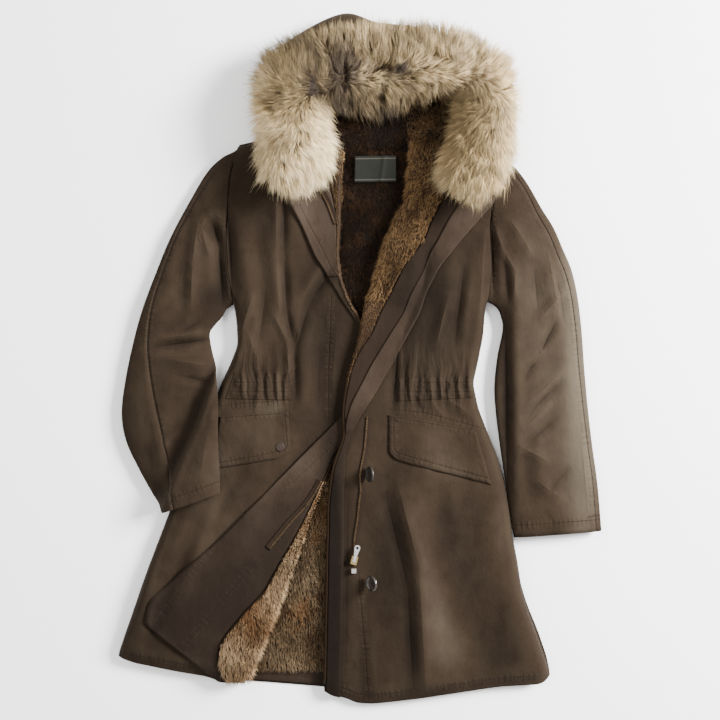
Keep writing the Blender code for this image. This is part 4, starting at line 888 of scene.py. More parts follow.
@dataclass(frozen=True)
class Twill(Finish):
    """Cotton twill: its plain, worn and deep colours, and how strongly its seams pucker."""

    base: tuple
    worn: tuple
    deep: tuple
    mottle: float = 0.42
    pucker: float = 1.0
    relief: float = 0.00011

    def paint(self, net: Net, shader: Node) -> None:
        """The weave, how it has faded, with painted light and shade, then creases, gathers and seams,
        with their relief.
        """
        cloth = net.group("TwillCloth", Base=self.base, Worn=self.worn, Deep=self.deep,
                          Mottle=self.mottle)
        sewn = net.group("SewnLine", Pucker=self.pucker)
        crest, shade, drawn, _ = net.attribute("state")
        # Crests take the worn colour, partly wear and partly painted highlight; folds take the deep
        # colour as painted shade.
        tone = net.mix(net.ramp(crest, 0.55, 1.0, 0.0, 0.3), cloth["Color"], self.worn)
        tone = net.mix(net.ramp(crest, 0.0, 0.45, 0.25, 0.0), tone, self.deep)
        # The dye and fades multiply in, with their painted light and shade.
        tone = net.mix(1.0, tone, net.grey(shade), "MULTIPLY")
        # Painted sheen: the lightest cloth is mixed towards a pale grey-beige.
        pale = net.mix(1.0, self.worn, (2.3, 2.72, 3.1), "MULTIPLY")
        tone = net.mix(net.ramp(shade, 1.0, 2.1, 0.0, 0.85), tone, pale)
        pleats = net.group("Gathers", Drawn=drawn)
        # Crease ridges lighten, partly wear and partly painted highlight; crease and gather troughs
        # darken as painted shade.
        ridge = net.ramp(pleats["Fold"], 0.4, 6.0, 0, 0.8)
        trough = net.ramp(pleats["Fold"], -7.0, -0.4, 0.7, 0)
        for part, colour in ((net.math("MULTIPLY_ADD", pleats["Crest"], 0.6, ridge), self.worn),
                             (net.math("MULTIPLY_ADD", pleats["Valley"], 0.3, trough), self.deep),
                             (net.times(sewn["Rubbed"], 0.3 * self.pucker), self.worn),
                             (sewn["Groove"], self.deep),
                             (net.times(sewn["Thread"], 0.35), self.worn)):
            tone = net.mix(part, tone, colour)
        normal = net.bump(cloth["Height"], self.relief, None, 0.5)
        for height, distance in ((sewn["Height"], 0.0022), (pleats["Rumple"], 0.003),
                                 (pleats["Height"], 0.008), (pleats["Fold"], 0.0002)):
            normal = net.bump(height, distance, normal)
        net.fill(shader, Base_Color=tone, Roughness=cloth["Roughness"], Normal=normal,
                 Specular_IOR_Level=0.06, Sheen_Weight=0.05, Sheen_Roughness=0.4,
                 Sheen_Tint=(0.8, 0.66, 0.5))


@dataclass(frozen=True)
class Pelt(Finish):
    """A fur: the colours of its hairs, and of the patches over it."""

    root: tuple
    middle: tuple
    tip: tuple
    patch: tuple
    scale: float = 22.0
    low: float = 0.5
    high: float = 0.66

    def paint(self, net: Net, shader: Node) -> None:
        """The hairs' colours, nearly dull."""
        hair = net.group("PeltHair", Root=self.root, Middle=self.middle, Tip=self.tip,
                         Patch=self.patch, Patch_Scale=self.scale, Patch_Low=self.low,
                         Patch_High=self.high)
        net.fill(shader, Base_Color=hair["Color"], Roughness=0.65, Specular_IOR_Level=0.08)


@dataclass(frozen=True)
class Hard(Finish):
    """A plain hard finish with a fine uneven surface: horn, brass or nickel."""

    colour: tuple
    stain: tuple
    roughness: float
    metallic: float
    coat: float = 0.0
    specular: float = 0.5

    def paint(self, net: Net, shader: Node) -> None:
        """Stains in soft clouds, and fine scratches that also change the gloss."""
        body = net.body()
        cloud = net.ramp(net.noise(body, 260.0, 4.0, 0.6), 0.45, 0.75)
        scratch = net.noise(net.mapped(body, (2600, 420, 900)), 1.0, 2.0)
        rough = net.ramp(scratch, 0.35, 0.75, self.roughness * 0.75, self.roughness * 1.5)
        net.fill(shader, Base_Color=net.mix(cloud, self.colour, self.stain), Roughness=rough,
                 Normal=net.bump(scratch, 0.00006, None, 0.25), Metallic=self.metallic,
                 Specular_IOR_Level=self.specular, Coat_Weight=self.coat, Coat_Roughness=0.12)


@dataclass(frozen=True)
class Woven(Finish):
    """A bare woven label: its ground, its rows, and a pale line near its top and bottom."""

    ground: tuple
    rows: tuple
    line: tuple
    middle: float
    line_off: float

    def paint(self, net: Net, shader: Node) -> None:
        """Fine rows across, and the two lines."""
        cloth = net.cloth()
        down = net.add("SeparateXYZ", cloth).outputs[1]
        off = net.math("ABSOLUTE", net.math("SUBTRACT", down, self.middle))
        off = net.math("ABSOLUTE", net.math("SUBTRACT", off, self.line_off))
        rows = net.noise(net.mapped(cloth, (300, 2600, 1)), 1.0, 2.0)
        tone = net.mix(net.ramp(rows, 0.35, 0.7), self.ground, self.rows)
        tone = net.mix(net.ramp(off, 0.0005, 0.001, 0.8, 0.0), tone, self.line)
        net.fill(shader, Base_Color=tone, Normal=net.bump(rows, 0.0002, None, 0.4),
                 Roughness=0.8, Specular_IOR_Level=0.1)


SHELL = Twill("olive twill", (0.012, 0.0074, 0.0045), (0.0245, 0.0171, 0.0107),
              (0.0036, 0.0021, 0.0013))
FACING = Twill("inner twill", (0.015, 0.0096, 0.0064), (0.027, 0.0183, 0.0125),
               (0.0045, 0.0027, 0.0018), mottle=0.34, pucker=0.55)
# A darker copy of the inner twill: painted shade for the left front's facing, which turns away from
# the light; the zip tapes use it too.
PAINTED_SHADE_FACING = Twill("shaded twill", (0.011, 0.0068, 0.0043), (0.019, 0.0124, 0.008),
                    (0.0025, 0.0015, 0.001), mottle=0.34)
RUFF_FUR = Pelt("ruff fur", (0.1, 0.062, 0.032), (0.5, 0.36, 0.18), (0.95, 0.83, 0.56),
                (0.086, 0.065, 0.05), 18.0, 0.56, 0.8)
RUFF_SKIN = Pelt("ruff skin", (0.2, 0.135, 0.075), (0.2, 0.135, 0.075), (0.2, 0.135, 0.075),
                 (0.15, 0.1, 0.06))
RABBIT_GOLD = Pelt("golden rabbit", (0.048, 0.026, 0.011), (0.17, 0.098, 0.043), (0.34, 0.235, 0.125),
                   (0.034, 0.016, 0.007), 26.0, 0.5, 0.64)
RABBIT_OLIVE = Pelt("olive rabbit", (0.014, 0.008, 0.004), (0.125, 0.08, 0.042), (0.32, 0.245, 0.155),
                    (0.105, 0.05, 0.02), 26.0, 0.56, 0.72)
RABBIT_TAN = Pelt("tan rabbit", (0.016, 0.008, 0.004), (0.115, 0.064, 0.029), (0.25, 0.17, 0.095),
                  (0.036, 0.019, 0.01), 30.0, 0.5, 0.64)
RABBIT_CREAM = Pelt("cream rabbit", (0.036, 0.02, 0.011), (0.27, 0.17, 0.088), (0.56, 0.44, 0.29),
                    (0.15, 0.072, 0.03), 20.0, 0.56, 0.74)
RABBIT_DARK = Pelt("dark rabbit", (0.005, 0.0028, 0.0018), (0.022, 0.012, 0.007),
                   (0.055, 0.034, 0.021), (0.045, 0.022, 0.009), 24.0, 0.5, 0.66)
PELT_SKIN = Pelt("pelt skin", (0.012, 0.007, 0.004), (0.012, 0.007, 0.004), (0.012, 0.007, 0.004),
                 (0.007, 0.004, 0.0025))
GOLD_SKIN = Pelt("golden skin", (0.06, 0.034, 0.015), (0.06, 0.034, 0.015), (0.06, 0.034, 0.015),
                 (0.03, 0.016, 0.007))
SNAP = Hard("painted snap", (0.02, 0.013, 0.009), (0.012, 0.008, 0.006), 0.6, 0.0, specular=0.15)
TEETH = Hard("dark bronze", (0.1, 0.066, 0.038), (0.035, 0.025, 0.016), 0.45, 1.0)
HORN = Hard("polished horn", (0.014, 0.012, 0.011), (0.05, 0.035, 0.025), 0.16, 0.0, 0.6)
# A darker, duller copy of the horn: painted shade for the upper button, which lies tipped on its side.
PAINTED_SHADE_HORN = Hard("shaded horn", (0.011, 0.008, 0.006), (0.02, 0.014, 0.01), 0.5, 0.0, 0.1, 0.3)
BRASS = Hard("worn brass", (0.58, 0.42, 0.2), (0.3, 0.21, 0.1), 0.3, 1.0)
LABEL = Woven("woven label", (0.006, 0.0062, 0.005), (0.012, 0.0124, 0.01),
              (0.05, 0.048, 0.038), 0.0222, 0.0178)
NICKEL = Hard("bright nickel", (0.78, 0.77, 0.75), (0.55, 0.54, 0.52), 0.2, 1.0)


class Held(Enum):
    """How a sheet of cloth lies."""

    LAID = "laid"
    FOLDED = "folded"


def dress(made: Object, finish: Finish, slot: str, *nodes: str) -> Object:
    """Gives a piece its finish and its body, and hides the CAD nodes that it stands for."""
    made.data.materials.clear()
    made.data.materials.append(finish.material())
    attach(made, "coat")
    if nodes:
        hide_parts(*nodes)
    LOG.info("%s: %s", made.name, finish.name)
    return made


def sheet(size: tuple,
          shown: Array | float | None = None) -> None:
    """Works out how much of a sheet's cut shows, and keeps nothing.

    Args:
        size: the flat width and length of its cut, in metres.
        shown: the grid that shows, or its area, or nothing where the whole cut does.
    """
    if shown is None:
        return
    whole = size[0] * size[1]
    if not isinstance(shown, float):
        shown = float(np.clip(area_of(shown), LEAST_SHOWN * whole, whole))


# --- fur -----------------------------------------------------------------------------
@dataclass
class Hairs:
    """Many tapered hairs: where each is rooted, how it grows, and how long and wide it is."""

    roots: Array
    rise: Array
    lean: Array
    length: Array
    width: Array
    pale: Array
    tone: Array
    grey: Array | float = 0.0
    bent: bool = True

    def pieces(self) -> tuple[Array, Array, Array]:
        """Points, faces and the colour numbers of three sided hairs.

        A bent hair has a ring at its root, one half way and a tip: its lower half follows
        the rise and its upper half the lean. A short hair is one straight spike.
        """
        lower = unit(self.rise + 0.35 * self.lean)
        upper = unit(0.35 * self.rise + self.lean)
        side = unit(np.cross(lower, np.array([0.31, 0.62, 0.72])))
        other = np.cross(lower, side)
        turn = (np.arange(3) * 2 * math.pi / 3)[None, :, None]
        ring = side[:, None] * np.cos(turn) + other[:, None] * np.sin(turn)
        ring = ring * self.width[:, None, None] / 2
        reach = self.length[:, None]
        root = self.roots[:, None] + ring
        if self.bent:
            knee = self.roots + lower * reach * 0.5
            tip = knee + upper * reach * 0.5
            points = np.concatenate([root, knee[:, None] + 0.72 * ring, tip[:, None]], axis=1)
            part = np.array([0, 0, 0, 0.5, 0.5, 0.5, 1.0])
            faces = np.array([(0, 2, 1), (0, 1, 4), (0, 4, 3), (1, 2, 5), (1, 5, 4), (2, 0, 3),
                              (2, 3, 5), (3, 4, 6), (4, 5, 6), (5, 3, 6)])
        else:
            tip = self.roots + unit(self.rise + self.lean) * reach
            points = np.concatenate([root, tip[:, None]], axis=1)
            part = np.array([0, 0, 0, 1.0])
            faces = np.array([(0, 2, 1), (0, 1, 3), (1, 2, 3), (2, 0, 3)])
        points[..., 2] = np.maximum(points[..., 2], 0.4)
        count, each = points.shape[:2]
        every = faces[None] + each * np.arange(count)[:, None, None]
        grey = self.grey + 0 * self.tone
        values = np.stack(np.broadcast_arrays(
            part, self.tone[:, None], self.pale[:, None], grey[:, None]), axis=-1)
        return points.reshape(-1, 3), every.reshape(-1, 3), values.reshape(-1, 4)


def fur_object(name: str, *coats: Hairs) -> Object:
    """One mesh of several sorts of hairs."""
    points, faces, values = zip(*(coat.pieces() for coat in coats))
    starts = np.cumsum([0] + [len(group) for group in points[:-1]])
    every = np.concatenate([group + start for group, start in zip(faces, starts)])
    made = mesh_object(name, in_frame(np.concatenate(points)), every)
    colour_attribute(made, "hair", np.concatenate(values))
    return made


# --- the cloth pieces ------------------------------------------------------------------
@dataclass
class FrontPanel:
    """One front: its lower run from the side to the fold, and its turned back upper run."""

    name: str
    toward: float
    side: Table
    fold: Table
    top: Table
    hem: Table
    creases: Table
    gathers: Table
    seams: list
    row_count: int = 132

    def __post_init__(self) -> None:
        """Sets the rows, closer together at the shoulder and the hem."""
        ends = np.concatenate([np.arange(0, 18, 3.0), np.linspace(18, 885, self.row_count),
                               np.arange(888, 901, 3.0)])
        self.rows = ends[:, None]
        self.start = self.value("fold") - self.toward * self.least()

    def value(self, name: str, rows: Array | None = None) -> Array:
        """A column of the fold table at each row, or at given ones."""
        return read(self.fold, name, self.rows if rows is None else rows)

    def height(self, x: Array, level: Array, rows: Array | None = None) -> Array:
        """Height of the middle of the shell where it lies on its lining."""
        rows = self.rows if rows is None else rows
        fur = self.value("fur", rows)
        start = self.value("fold", rows) - self.toward * self.least(rows)
        thin = THIN_ZONE * np.clip((FULL_ROLL - fur) / (FULL_ROLL - SETTLED), 0, 1)
        lining = fur + (FUR - fur) * smooth((np.abs(x - start) - thin) / THIN_RAMP)
        settled = FRONT_FUR_LOW + lining + GAP + HALF
        z = settled + (FRONT_FULL - settled) * self.value("lift", rows)
        room = read(self.hem, "level", x, "x") - level
        z = z + creased(x, level, self.creases) + self.gathered(x, level)
        z = waved(z, x, level, ((0.9, 46, 3), (0.4, 17, 5)))
        z = z + 0.7 * billow(x, level, 9, 8) * np.exp(-np.maximum(room, 0) / 9)
        z = z - (z - EDGE_LOW - HEM_HEIGHT) * HEM_SINK * (1 - smooth(room / HEM_SOFT))
        closed = smooth((rows - ARMPIT + 16) / 32.0)
        depth = np.abs(x - read(self.side, "x", rows))
        z = z - closed * (z - EDGE_LOW) * (1 - curl(depth))
        shoulder = level - read(self.top, "level", x, "x")
        lowest = EDGE_LOW + (FRONT_FUR_LOW + CLOTH - EDGE_LOW) * near_neck(x)
        return z - (z - lowest) * (1 - curl(shoulder, CURL + 2))

    def gathered(self, x: Array, level: Array) -> Array:
        """The small pleats that run out of the casing, up and down, until they fade."""
        extra = 0.0 * x
        for at, middle, up, down, width, height, tilt in zip(*self.gathers.values()):
            past = level - middle
            fade = np.exp(-(past / np.where(past < 0, up, down)) ** 2)
            extra = extra + PLEAT * height * fade * np.exp(-((x - at - tilt * past) / width) ** 2)
        return extra

    def surface(self, x: Array) -> tuple[Array, Array]:
        """Points and upward normals of the lower run at the given places across."""
        level = bend(self.rows + 0.0 * x, x, self.top, self.hem)
        step = 0.5
        z = self.height(x, level)
        slope_x = (self.height(x + step, level) - self.height(x - step, level)) / (2 * step)
        slope_l = (self.height(x, level + step) - self.height(x, level - step)) / (2 * step)
        normal = unit(np.stack([-slope_x, slope_l, np.ones_like(z)], -1))
        return spot(x, level, z), normal

    def run(self, start: float, stop: float, count: int) -> tuple[Array, Array]:
        """Points and outward normals of the lower run, from one part of its width to another."""
        side = read(self.side, "x", self.rows) + self.toward * HALF
        part = steps(count, start, stop)
        edge = 1 - np.cos(np.clip(part / 0.12, 0, 1) * math.pi / 2)
        part = np.where(part < 0.12, 0.12 * (0.35 * edge + 0.65 * part / 0.12), part)
        return self.surface(between(side, self.start, part))

    def arc(self, count: int) -> tuple[Array, Array]:
        """Points and outward normals round the fold: a half circle of the fold's radius."""
        low, up = self.surface(self.start)
        angle = np.linspace(0, math.pi, count + 2)[None, 1:-1, None]
        outward = np.array([self.toward, 0.0, 0.0])
        normal = up * np.cos(angle) - outward * np.sin(angle)
        return low + FOLD_RADIUS * (up - normal), normal

    def turned(self, start: Array, stop: Array, count: int) -> tuple[Array, Array]:
        """Points and outward normals of the turned back part, between two distances in."""
        away = between(start, stop, steps(count))
        over, up = self.surface(self.value("fold") - self.toward * away)
        return over + 2 * FOLD_RADIUS * up, -up

    def least(self, rows: Array | None = None) -> Array:
        """How far in from the fold's edge the turned back part starts."""
        return FOLD_RADIUS + HALF + GAP + self.value("fur", rows)

    def shell(self) -> None:
        """The front's own cloth, all round its fold."""
        runs = [self.run(0, 1, 58), self.arc(5), self.turned(self.least(), self.value("turn"), 14)]
        points, normals = (np.concatenate(part, axis=1) for part in zip(*runs))
        self.points = points
        made = wall("cloth_front_" + self.name, points + HALF * normals, points - HALF * normals,
                    self.seams, 1.0, self.creases)
        dress(made, SHELL, "twill", "front_" + self.name)
        sheet((0.46, 0.99), points)

    def facing_start(self) -> Array:
        """How far in from the fold's edge the facing starts, just past the fur."""
        strip = self.value("strip")
        return between(strip, self.value("turn"), 0.02) + 0.3

    def ply(self, first: float, last: float) -> tuple[Array, Array]:
        """The facing's near and far side on the turned back part, between two rows."""
        kept = (self.rows[:, 0] >= first) & (self.rows[:, 0] <= last)
        start = self.facing_start()
        stop = np.maximum(self.value("turn") - 0.6, start + 2.0)
        points, normals = self.turned(start, stop, 22)
        under = HALF + GAP
        return (points - under * normals)[kept], (points - (under + CLOTH) * normals)[kept]


def laid_patch(corners: tuple, counts: tuple, round_corner: float = 0.0,
               inner: int = 1) -> tuple[Array, Array, Array, Array]:
    """A patch between four corners: u, v, x and level, with one bottom corner rounded."""
    across, down = counts
    u = steps(across) + np.zeros((down, 1))
    v = np.linspace(0, 1, down)[:, None] + np.zeros((1, across))
    a, b, c, d = (np.array(corner, float) for corner in corners)
    if round_corner:
        height = np.hypot(*(c - b))
        width = np.hypot(*(b - a))
        low = np.clip((v * height - (height - round_corner)) / round_corner, 0, 1)
        draw = round_corner * (1 - np.sqrt(1 - low ** 2)) / width
        u = u * (1 - draw) if inner > 0 else draw + u * (1 - draw)
    x = (a[0] * (1 - u) + b[0] * u) * (1 - v) + (d[0] * (1 - u) + c[0] * u) * v
    level = (a[1] * (1 - u) + b[1] * u) * (1 - v) + (d[1] * (1 - u) + c[1] * u) * v
    return u, v, x, level


@dataclass
class Body:
    """The back, both fronts and all that is sewn inside them or on them."""

    ground: Ground

    def back(self) -> None:
        """The back panel, flat on the floor, its lining skin and its hem facing."""
        x, level = self.spread(HEM, 0.0, (64, 44))
        low = spot(x, level, 0.0)
        cloth = wall("cloth_back", raised(low, CLOTH), low, [Seam(above(HEM_BACK, HEM_STITCH + 1))])
        dress(cloth, SHELL, "twill", "back")
        sheet((0.73, 0.96), 0.49)

        x, level = self.spread(LINING_END, CURL - 1, (70, 48))
        level = np.maximum(level, read(NECK, "level", x, "x") + 20.0 - 19.4 * near_neck(x))
        low = spot(x, level, BACK_FUR_LOW)
        skin = raised(low, SKIN_DEPTH + swell(x, level))
        lining = wall("skin_lining_back", skin, low)
        dress(lining, PELT_SKIN, "lining_fur", "lining_back")
        sheet((0.7, 0.92), 0.44)
        self.ground.add(skin)

        x = steps(90, SIDE_RIGHT["x"][-1] + CURL + 4, SIDE_LEFT["x"][-1] - CURL - 8)
        hem = read(HEM_BACK, "level", x, "x")
        top = WAIST + (LINING_END - WAIST) * (hem - WAIST) / (HEM - WAIST) + 1.6
        level = between(top, hem - 3.0, np.linspace(0, 1, 8)[:, None])
        line = np.stack([x[0, ::6], hem[0, ::6] - HEM_STITCH + 1], -1)
        x = x + 0 * level
        low = spot(x, level, BACK_FUR_LOW)
        high = raised(low, 2.0 + 0.5 * billow(x, level, 8, 4))
        facing = wall("cloth_hem_facing_back", high, low, [Seam(line)])
        dress(facing, FACING, "facing", "hem_facing_back")
        sheet((0.7, 0.03))
        self.ground.add(high)

    @staticmethod
    def spread(last: float, inset: float, counts: tuple) -> tuple[Array, Array]:
        """Places over the back, from the nape to a last row, so far in from both sides."""
        rows = np.linspace(0, last, counts[0])[:, None]
        left, right = read(SIDE_RIGHT, "x", rows) + inset, read(SIDE_LEFT, "x", rows) - inset
        x = between(left, right, steps(counts[1]))
        return x, bend(rows + 0 * x, x, NECK, HEM_BACK)

    def fronts(self) -> None:
        """Both fronts with their linings, facings and the wind flap."""
        # A dark line along the right front's fold, drawn as a seam: painted shade on the fold's lit
        # edge, not a sewn line.
        painted_fold_shade = np.stack([FOLD_RIGHT["fold"] - 0.4, FOLD_RIGHT["level"]], -1)[1:14]
        seams_right = [
            Seam(above(HEM_RIGHT, HEM_STITCH), 0.35),
            Seam(((-47, 247), (-52, 366), (-53, 452)), 0.25), Seam(painted_fold_shade, 0.9),
            Seam(((-236, 434), (-118, 424)), 0.35)]
        seams_left = [
            Seam(above(HEM_LEFT, HEM_STITCH), 0.35),
            Seam(((-1, 718), (3, 768), (11, 858), (16, 932)), 0.8),
            Seam(((55, 440), (112, 446), (208, 472)), 0.45)]
        self.right = FrontPanel("right", 1.0, SIDE_RIGHT, FOLD_RIGHT, SHOULDER_RIGHT, HEM_RIGHT,
                                CREASES_RIGHT, GATHERS_RIGHT, seams_right)
        self.left = FrontPanel("left", -1.0, SIDE_LEFT, FOLD_LEFT, SHOULDER_LEFT, HEM_LEFT,
                               CREASES_LEFT, GATHERS_LEFT, seams_left)
        for panel in (self.right, self.left):
            panel.shell()
            self.ground.add(raised(panel.points, HALF))
            self.lining(panel)
        self.plies()

    def lining(self, panel: FrontPanel) -> None:
        """A front's lining: its skin under the shell, round the fold and on to the strip."""
        strip = panel.value("strip")
        runs = [panel.run(0.03, 1, 20), panel.arc(4), panel.turned(panel.least(), strip, 8)]
        points, normals = (np.concatenate(part, axis=1) for part in zip(*runs))
        kept = (panel.rows[:, 0] >= SEWN_ROWS[0]) & (panel.rows[:, 0] <= SEWN_ROWS[1])
        points, normals = points[kept], normals[kept]
        fur = panel.value("fur")[kept]
        deep = np.clip(0.4 * fur, 0.9, 4.5) * np.ones(points.shape[:2])
        under = HALF + GAP + 3.6 * np.clip(1.4 - np.arange(points.shape[1]) / 16, 0, 1)[None, :, None]
        near = points - under * normals
        far = near - deep[..., None] * normals
        far[..., 2] = np.maximum(far[..., 2], BACK_FUR_TOP - 4.0)
        near[..., 2] = np.maximum(near[..., 2], far[..., 2])
        made = wall("skin_lining_front_" + panel.name, near, far)
        dress(made, GOLD_SKIN, "lining_fur", "lining_front_" + panel.name)
        sheet((0.44, 0.9), points)

    def plies(self) -> None:
        """The facings and the wind flap, on the turned back parts."""
        upper = [Seam(((-103, 90), (-88, 122), (-66, 163), (-46, 204), (-18, 245)), 0.3),
                 Seam(((-69, 64), (-52, 97), (-40, 128)), 1.0)]
        lower = [Seam(((-64, 558), (-82, 592), (-115, 628), (-154, 673), (-178, 700), (-227, 757),
                       (-296, 838)), 0.8), Seam(((-343, 812), (-256, 880)), 0.4),
                 Seam(((-26, 480), (-110, 560), (-208, 610), (-268, 700), (-346, 799)), 0.2)]
        for name, panel, rows, size, finish, lines in (
                ("right_upper", self.right, (6, 223), (0.13, 0.23), FACING, upper),
                ("right_lower", self.right, (409, 900), (0.2, 0.5), FACING, lower),
                ("left", self.left, (6, 455), (0.1, 0.46), PAINTED_SHADE_FACING, None)):
            near, far = panel.ply(*rows)
            bright = 1.3 - 0.62 * smooth((-far[..., 1] - 520) / 120) if lines else 1.0
            made = wall("cloth_facing_" + name, far, near, lines, bright)
            dress(made, finish, "facing", "facing_" + name)
            sheet(size, near)
            self.ground.add(far)
        left = self.left
        under = HALF + GAP + np.where(left.rows > 470, 0.0, CLOTH + GAP)[..., None]
        kept = left.rows[:, 0] >= SEWN_ROWS[0]
        start = np.maximum(left.value("band"), left.facing_start() + 0.6)
        points, normals = left.turned(start, left.value("turn"), 18)
        near = (points - under * normals)[kept]
        far = (points - (under + CLOTH) * normals)[kept]
        # Painted shade: the wind flap darkens from level 420 down, where it rolls away from the key
        # light.
        bright = 1.25 - 0.45 * smooth((-far[..., 1] - 420) / 60)
        made = wall("cloth_wind_flap_left", far, near, None, bright)
        dress(made, FACING, "facing", "wind_flap_left")
        sheet((0.09, 0.93), near)
        self.ground.add(far)

    def trims(self) -> None:
        """Waist casings, pocket flaps and the bare label."""
        for name, corners, panel in (("right", CASING_RIGHT, self.right),
                                     ("left", CASING_LEFT, self.left)):
            u, v, x, level = laid_patch(corners, (96, 26))
            edge = np.minimum(np.minimum(u, 1 - u) * 100, np.minimum(v, 1 - v) * 42)
            near = spot(x, level, panel.height(x, level, level) + HALF + 0.5)
            thick = 0.2 + 0.9 * smooth(edge / 9.0) + 0.6 * smooth(edge / 6.0) * billow(x, level, 6, 77)
            self.flat_patch("waist_casing_" + name, near, thick, SHELL, (0.17, 0.046),
                            [Seam(((-210, row), (200, row)), 0.12) for row in CASING_ROWS])
        for name, corners, inner in (("right", FLAP_RIGHT, 1), ("left", FLAP_LEFT, -1)):
            u, v, x, level = laid_patch(corners, (52, 34), 22.0, inner)
            edge = np.minimum(np.minimum(u, 1 - u) * 110, (1 - v) * 78)
            pucker = np.exp(-((edge - 7.0) / 3.5) ** 2) + np.exp(-((v * 78 - 3.0) / 4.0) ** 2)
            thick = FLAP_CLOTH * (0.3 + 0.7 * curl(edge, 5.0)) + 0.5 * billow(x, level, 26, 21)
            thick = np.maximum(thick + 0.8 * pucker * billow(x, level, 4.4, 23), 0.7)
            a, b, c, d = (np.array(p, float) for p in corners)
            up = (a - d) / np.hypot(*(a - d)) * 9.0
            if inner > 0:
                line = (d + up, c + up + (-14, 0), c + up + (-8, -8), b + (-8, 0))
            else:
                line = (c + up, d + up + (14, 0), d + up + (8, -8), a + (8, 0))
            self.patch("pocket_flap_" + name, x, level, self.ground.cover(4.0, 6.0), thick, SHELL,
                       (0.15, 0.09), [Seam(line, 0.4), Seam((a + (0, 2), b + (0, 2)), 0.7)])
        u, v, x, level = laid_patch(((-7, 13), (62, 12), (63, 56), (-8, 57)), (40, 26))
        fold = 1.6 * np.exp(-((u - 0.68 + 0.1 * (v - 0.5)) / 0.05) ** 2)
        sag = self.ground.cover(3.0, 8.0) + 6.6
        self.patch("label", x, level, sag, 0.9 + fold, LABEL, (0.07, 0.045), [])

    def patch(self, name: str, x: Array, level: Array, cover: Array, thick: Array,
              finish: Finish, size: tuple, seams: list) -> None:
        """A patch laid on what is under it."""
        near = spot(x, level, self.ground.under(x, -level, cover) + 0.35)
        self.flat_patch(name, near, thick, finish, size, seams)

    def flat_patch(self, name: str, near: Array, thick: Array, finish: Finish, size: tuple,
                   seams: list) -> None:
        far = raised(near, thick)
        made = wall("cloth_" + name, far, near, seams)
        dress(made, finish, "label" if name == "label" else "twill", name)
        sheet(size, near)
        self.ground.add(far)


# Sleeves: the two ends of a line across the flat sleeve, how high it stands, and where the
# elbow seam crosses, as a part of the width.
SLEEVE_RIGHT = columns(
    "outer_x outer_level inner_x inner_level height seam",
    (-204, -3, -212, 262, 24.9, 0.05), (-250, 33, -217, 266, 25.5, 0.05),
    (-286, 91, -224, 271, 26, 0.05), (-319, 154, -231, 283, 27, 0.06),
    (-344, 215, -243, 297, 28, 0.08), (-365, 272, -252, 311, 29, 0.13),
    (-380, 326, -250, 334, 28, 0.19), (-393, 387, -240, 378, 27, 0.28),
    (-400, 445, -235, 424, 27, 0.36), (-393, 492, -235, 474, 26, 0.4),
    (-373, 536, -234, 517, 26, 0.38), (-349, 580, -232, 550, 25, 0.3),
    (-328, 612, -232, 579, 24, 0.22))
SLEEVE_LEFT = columns(
    "outer_x outer_level inner_x inner_level height seam",
    (247, 12, 218, 258, 24.9, 0.05), (281, 55, 221, 260, 25.5, 0.06),
    (307, 100, 225, 262, 26, 0.08), (328, 134, 229, 265, 26.5, 0.09),
    (344, 171, 234, 270, 27, 0.1), (358, 205, 239, 280, 28, 0.1),
    (368, 249, 243, 306, 28, 0.09), (375, 306, 234, 352, 27, 0.08),
    (380, 374, 229, 404, 26, 0.07), (386, 440, 232, 450, 26, 0.06),
    (393, 500, 240, 512, 26, 0.06), (402, 565, 250, 578, 25, 0.06),
    (409, 645, 262, 656, 24, 0.07))
SKIRT_RIGHT = 6.6
SKIRT_LEFT = 99.0


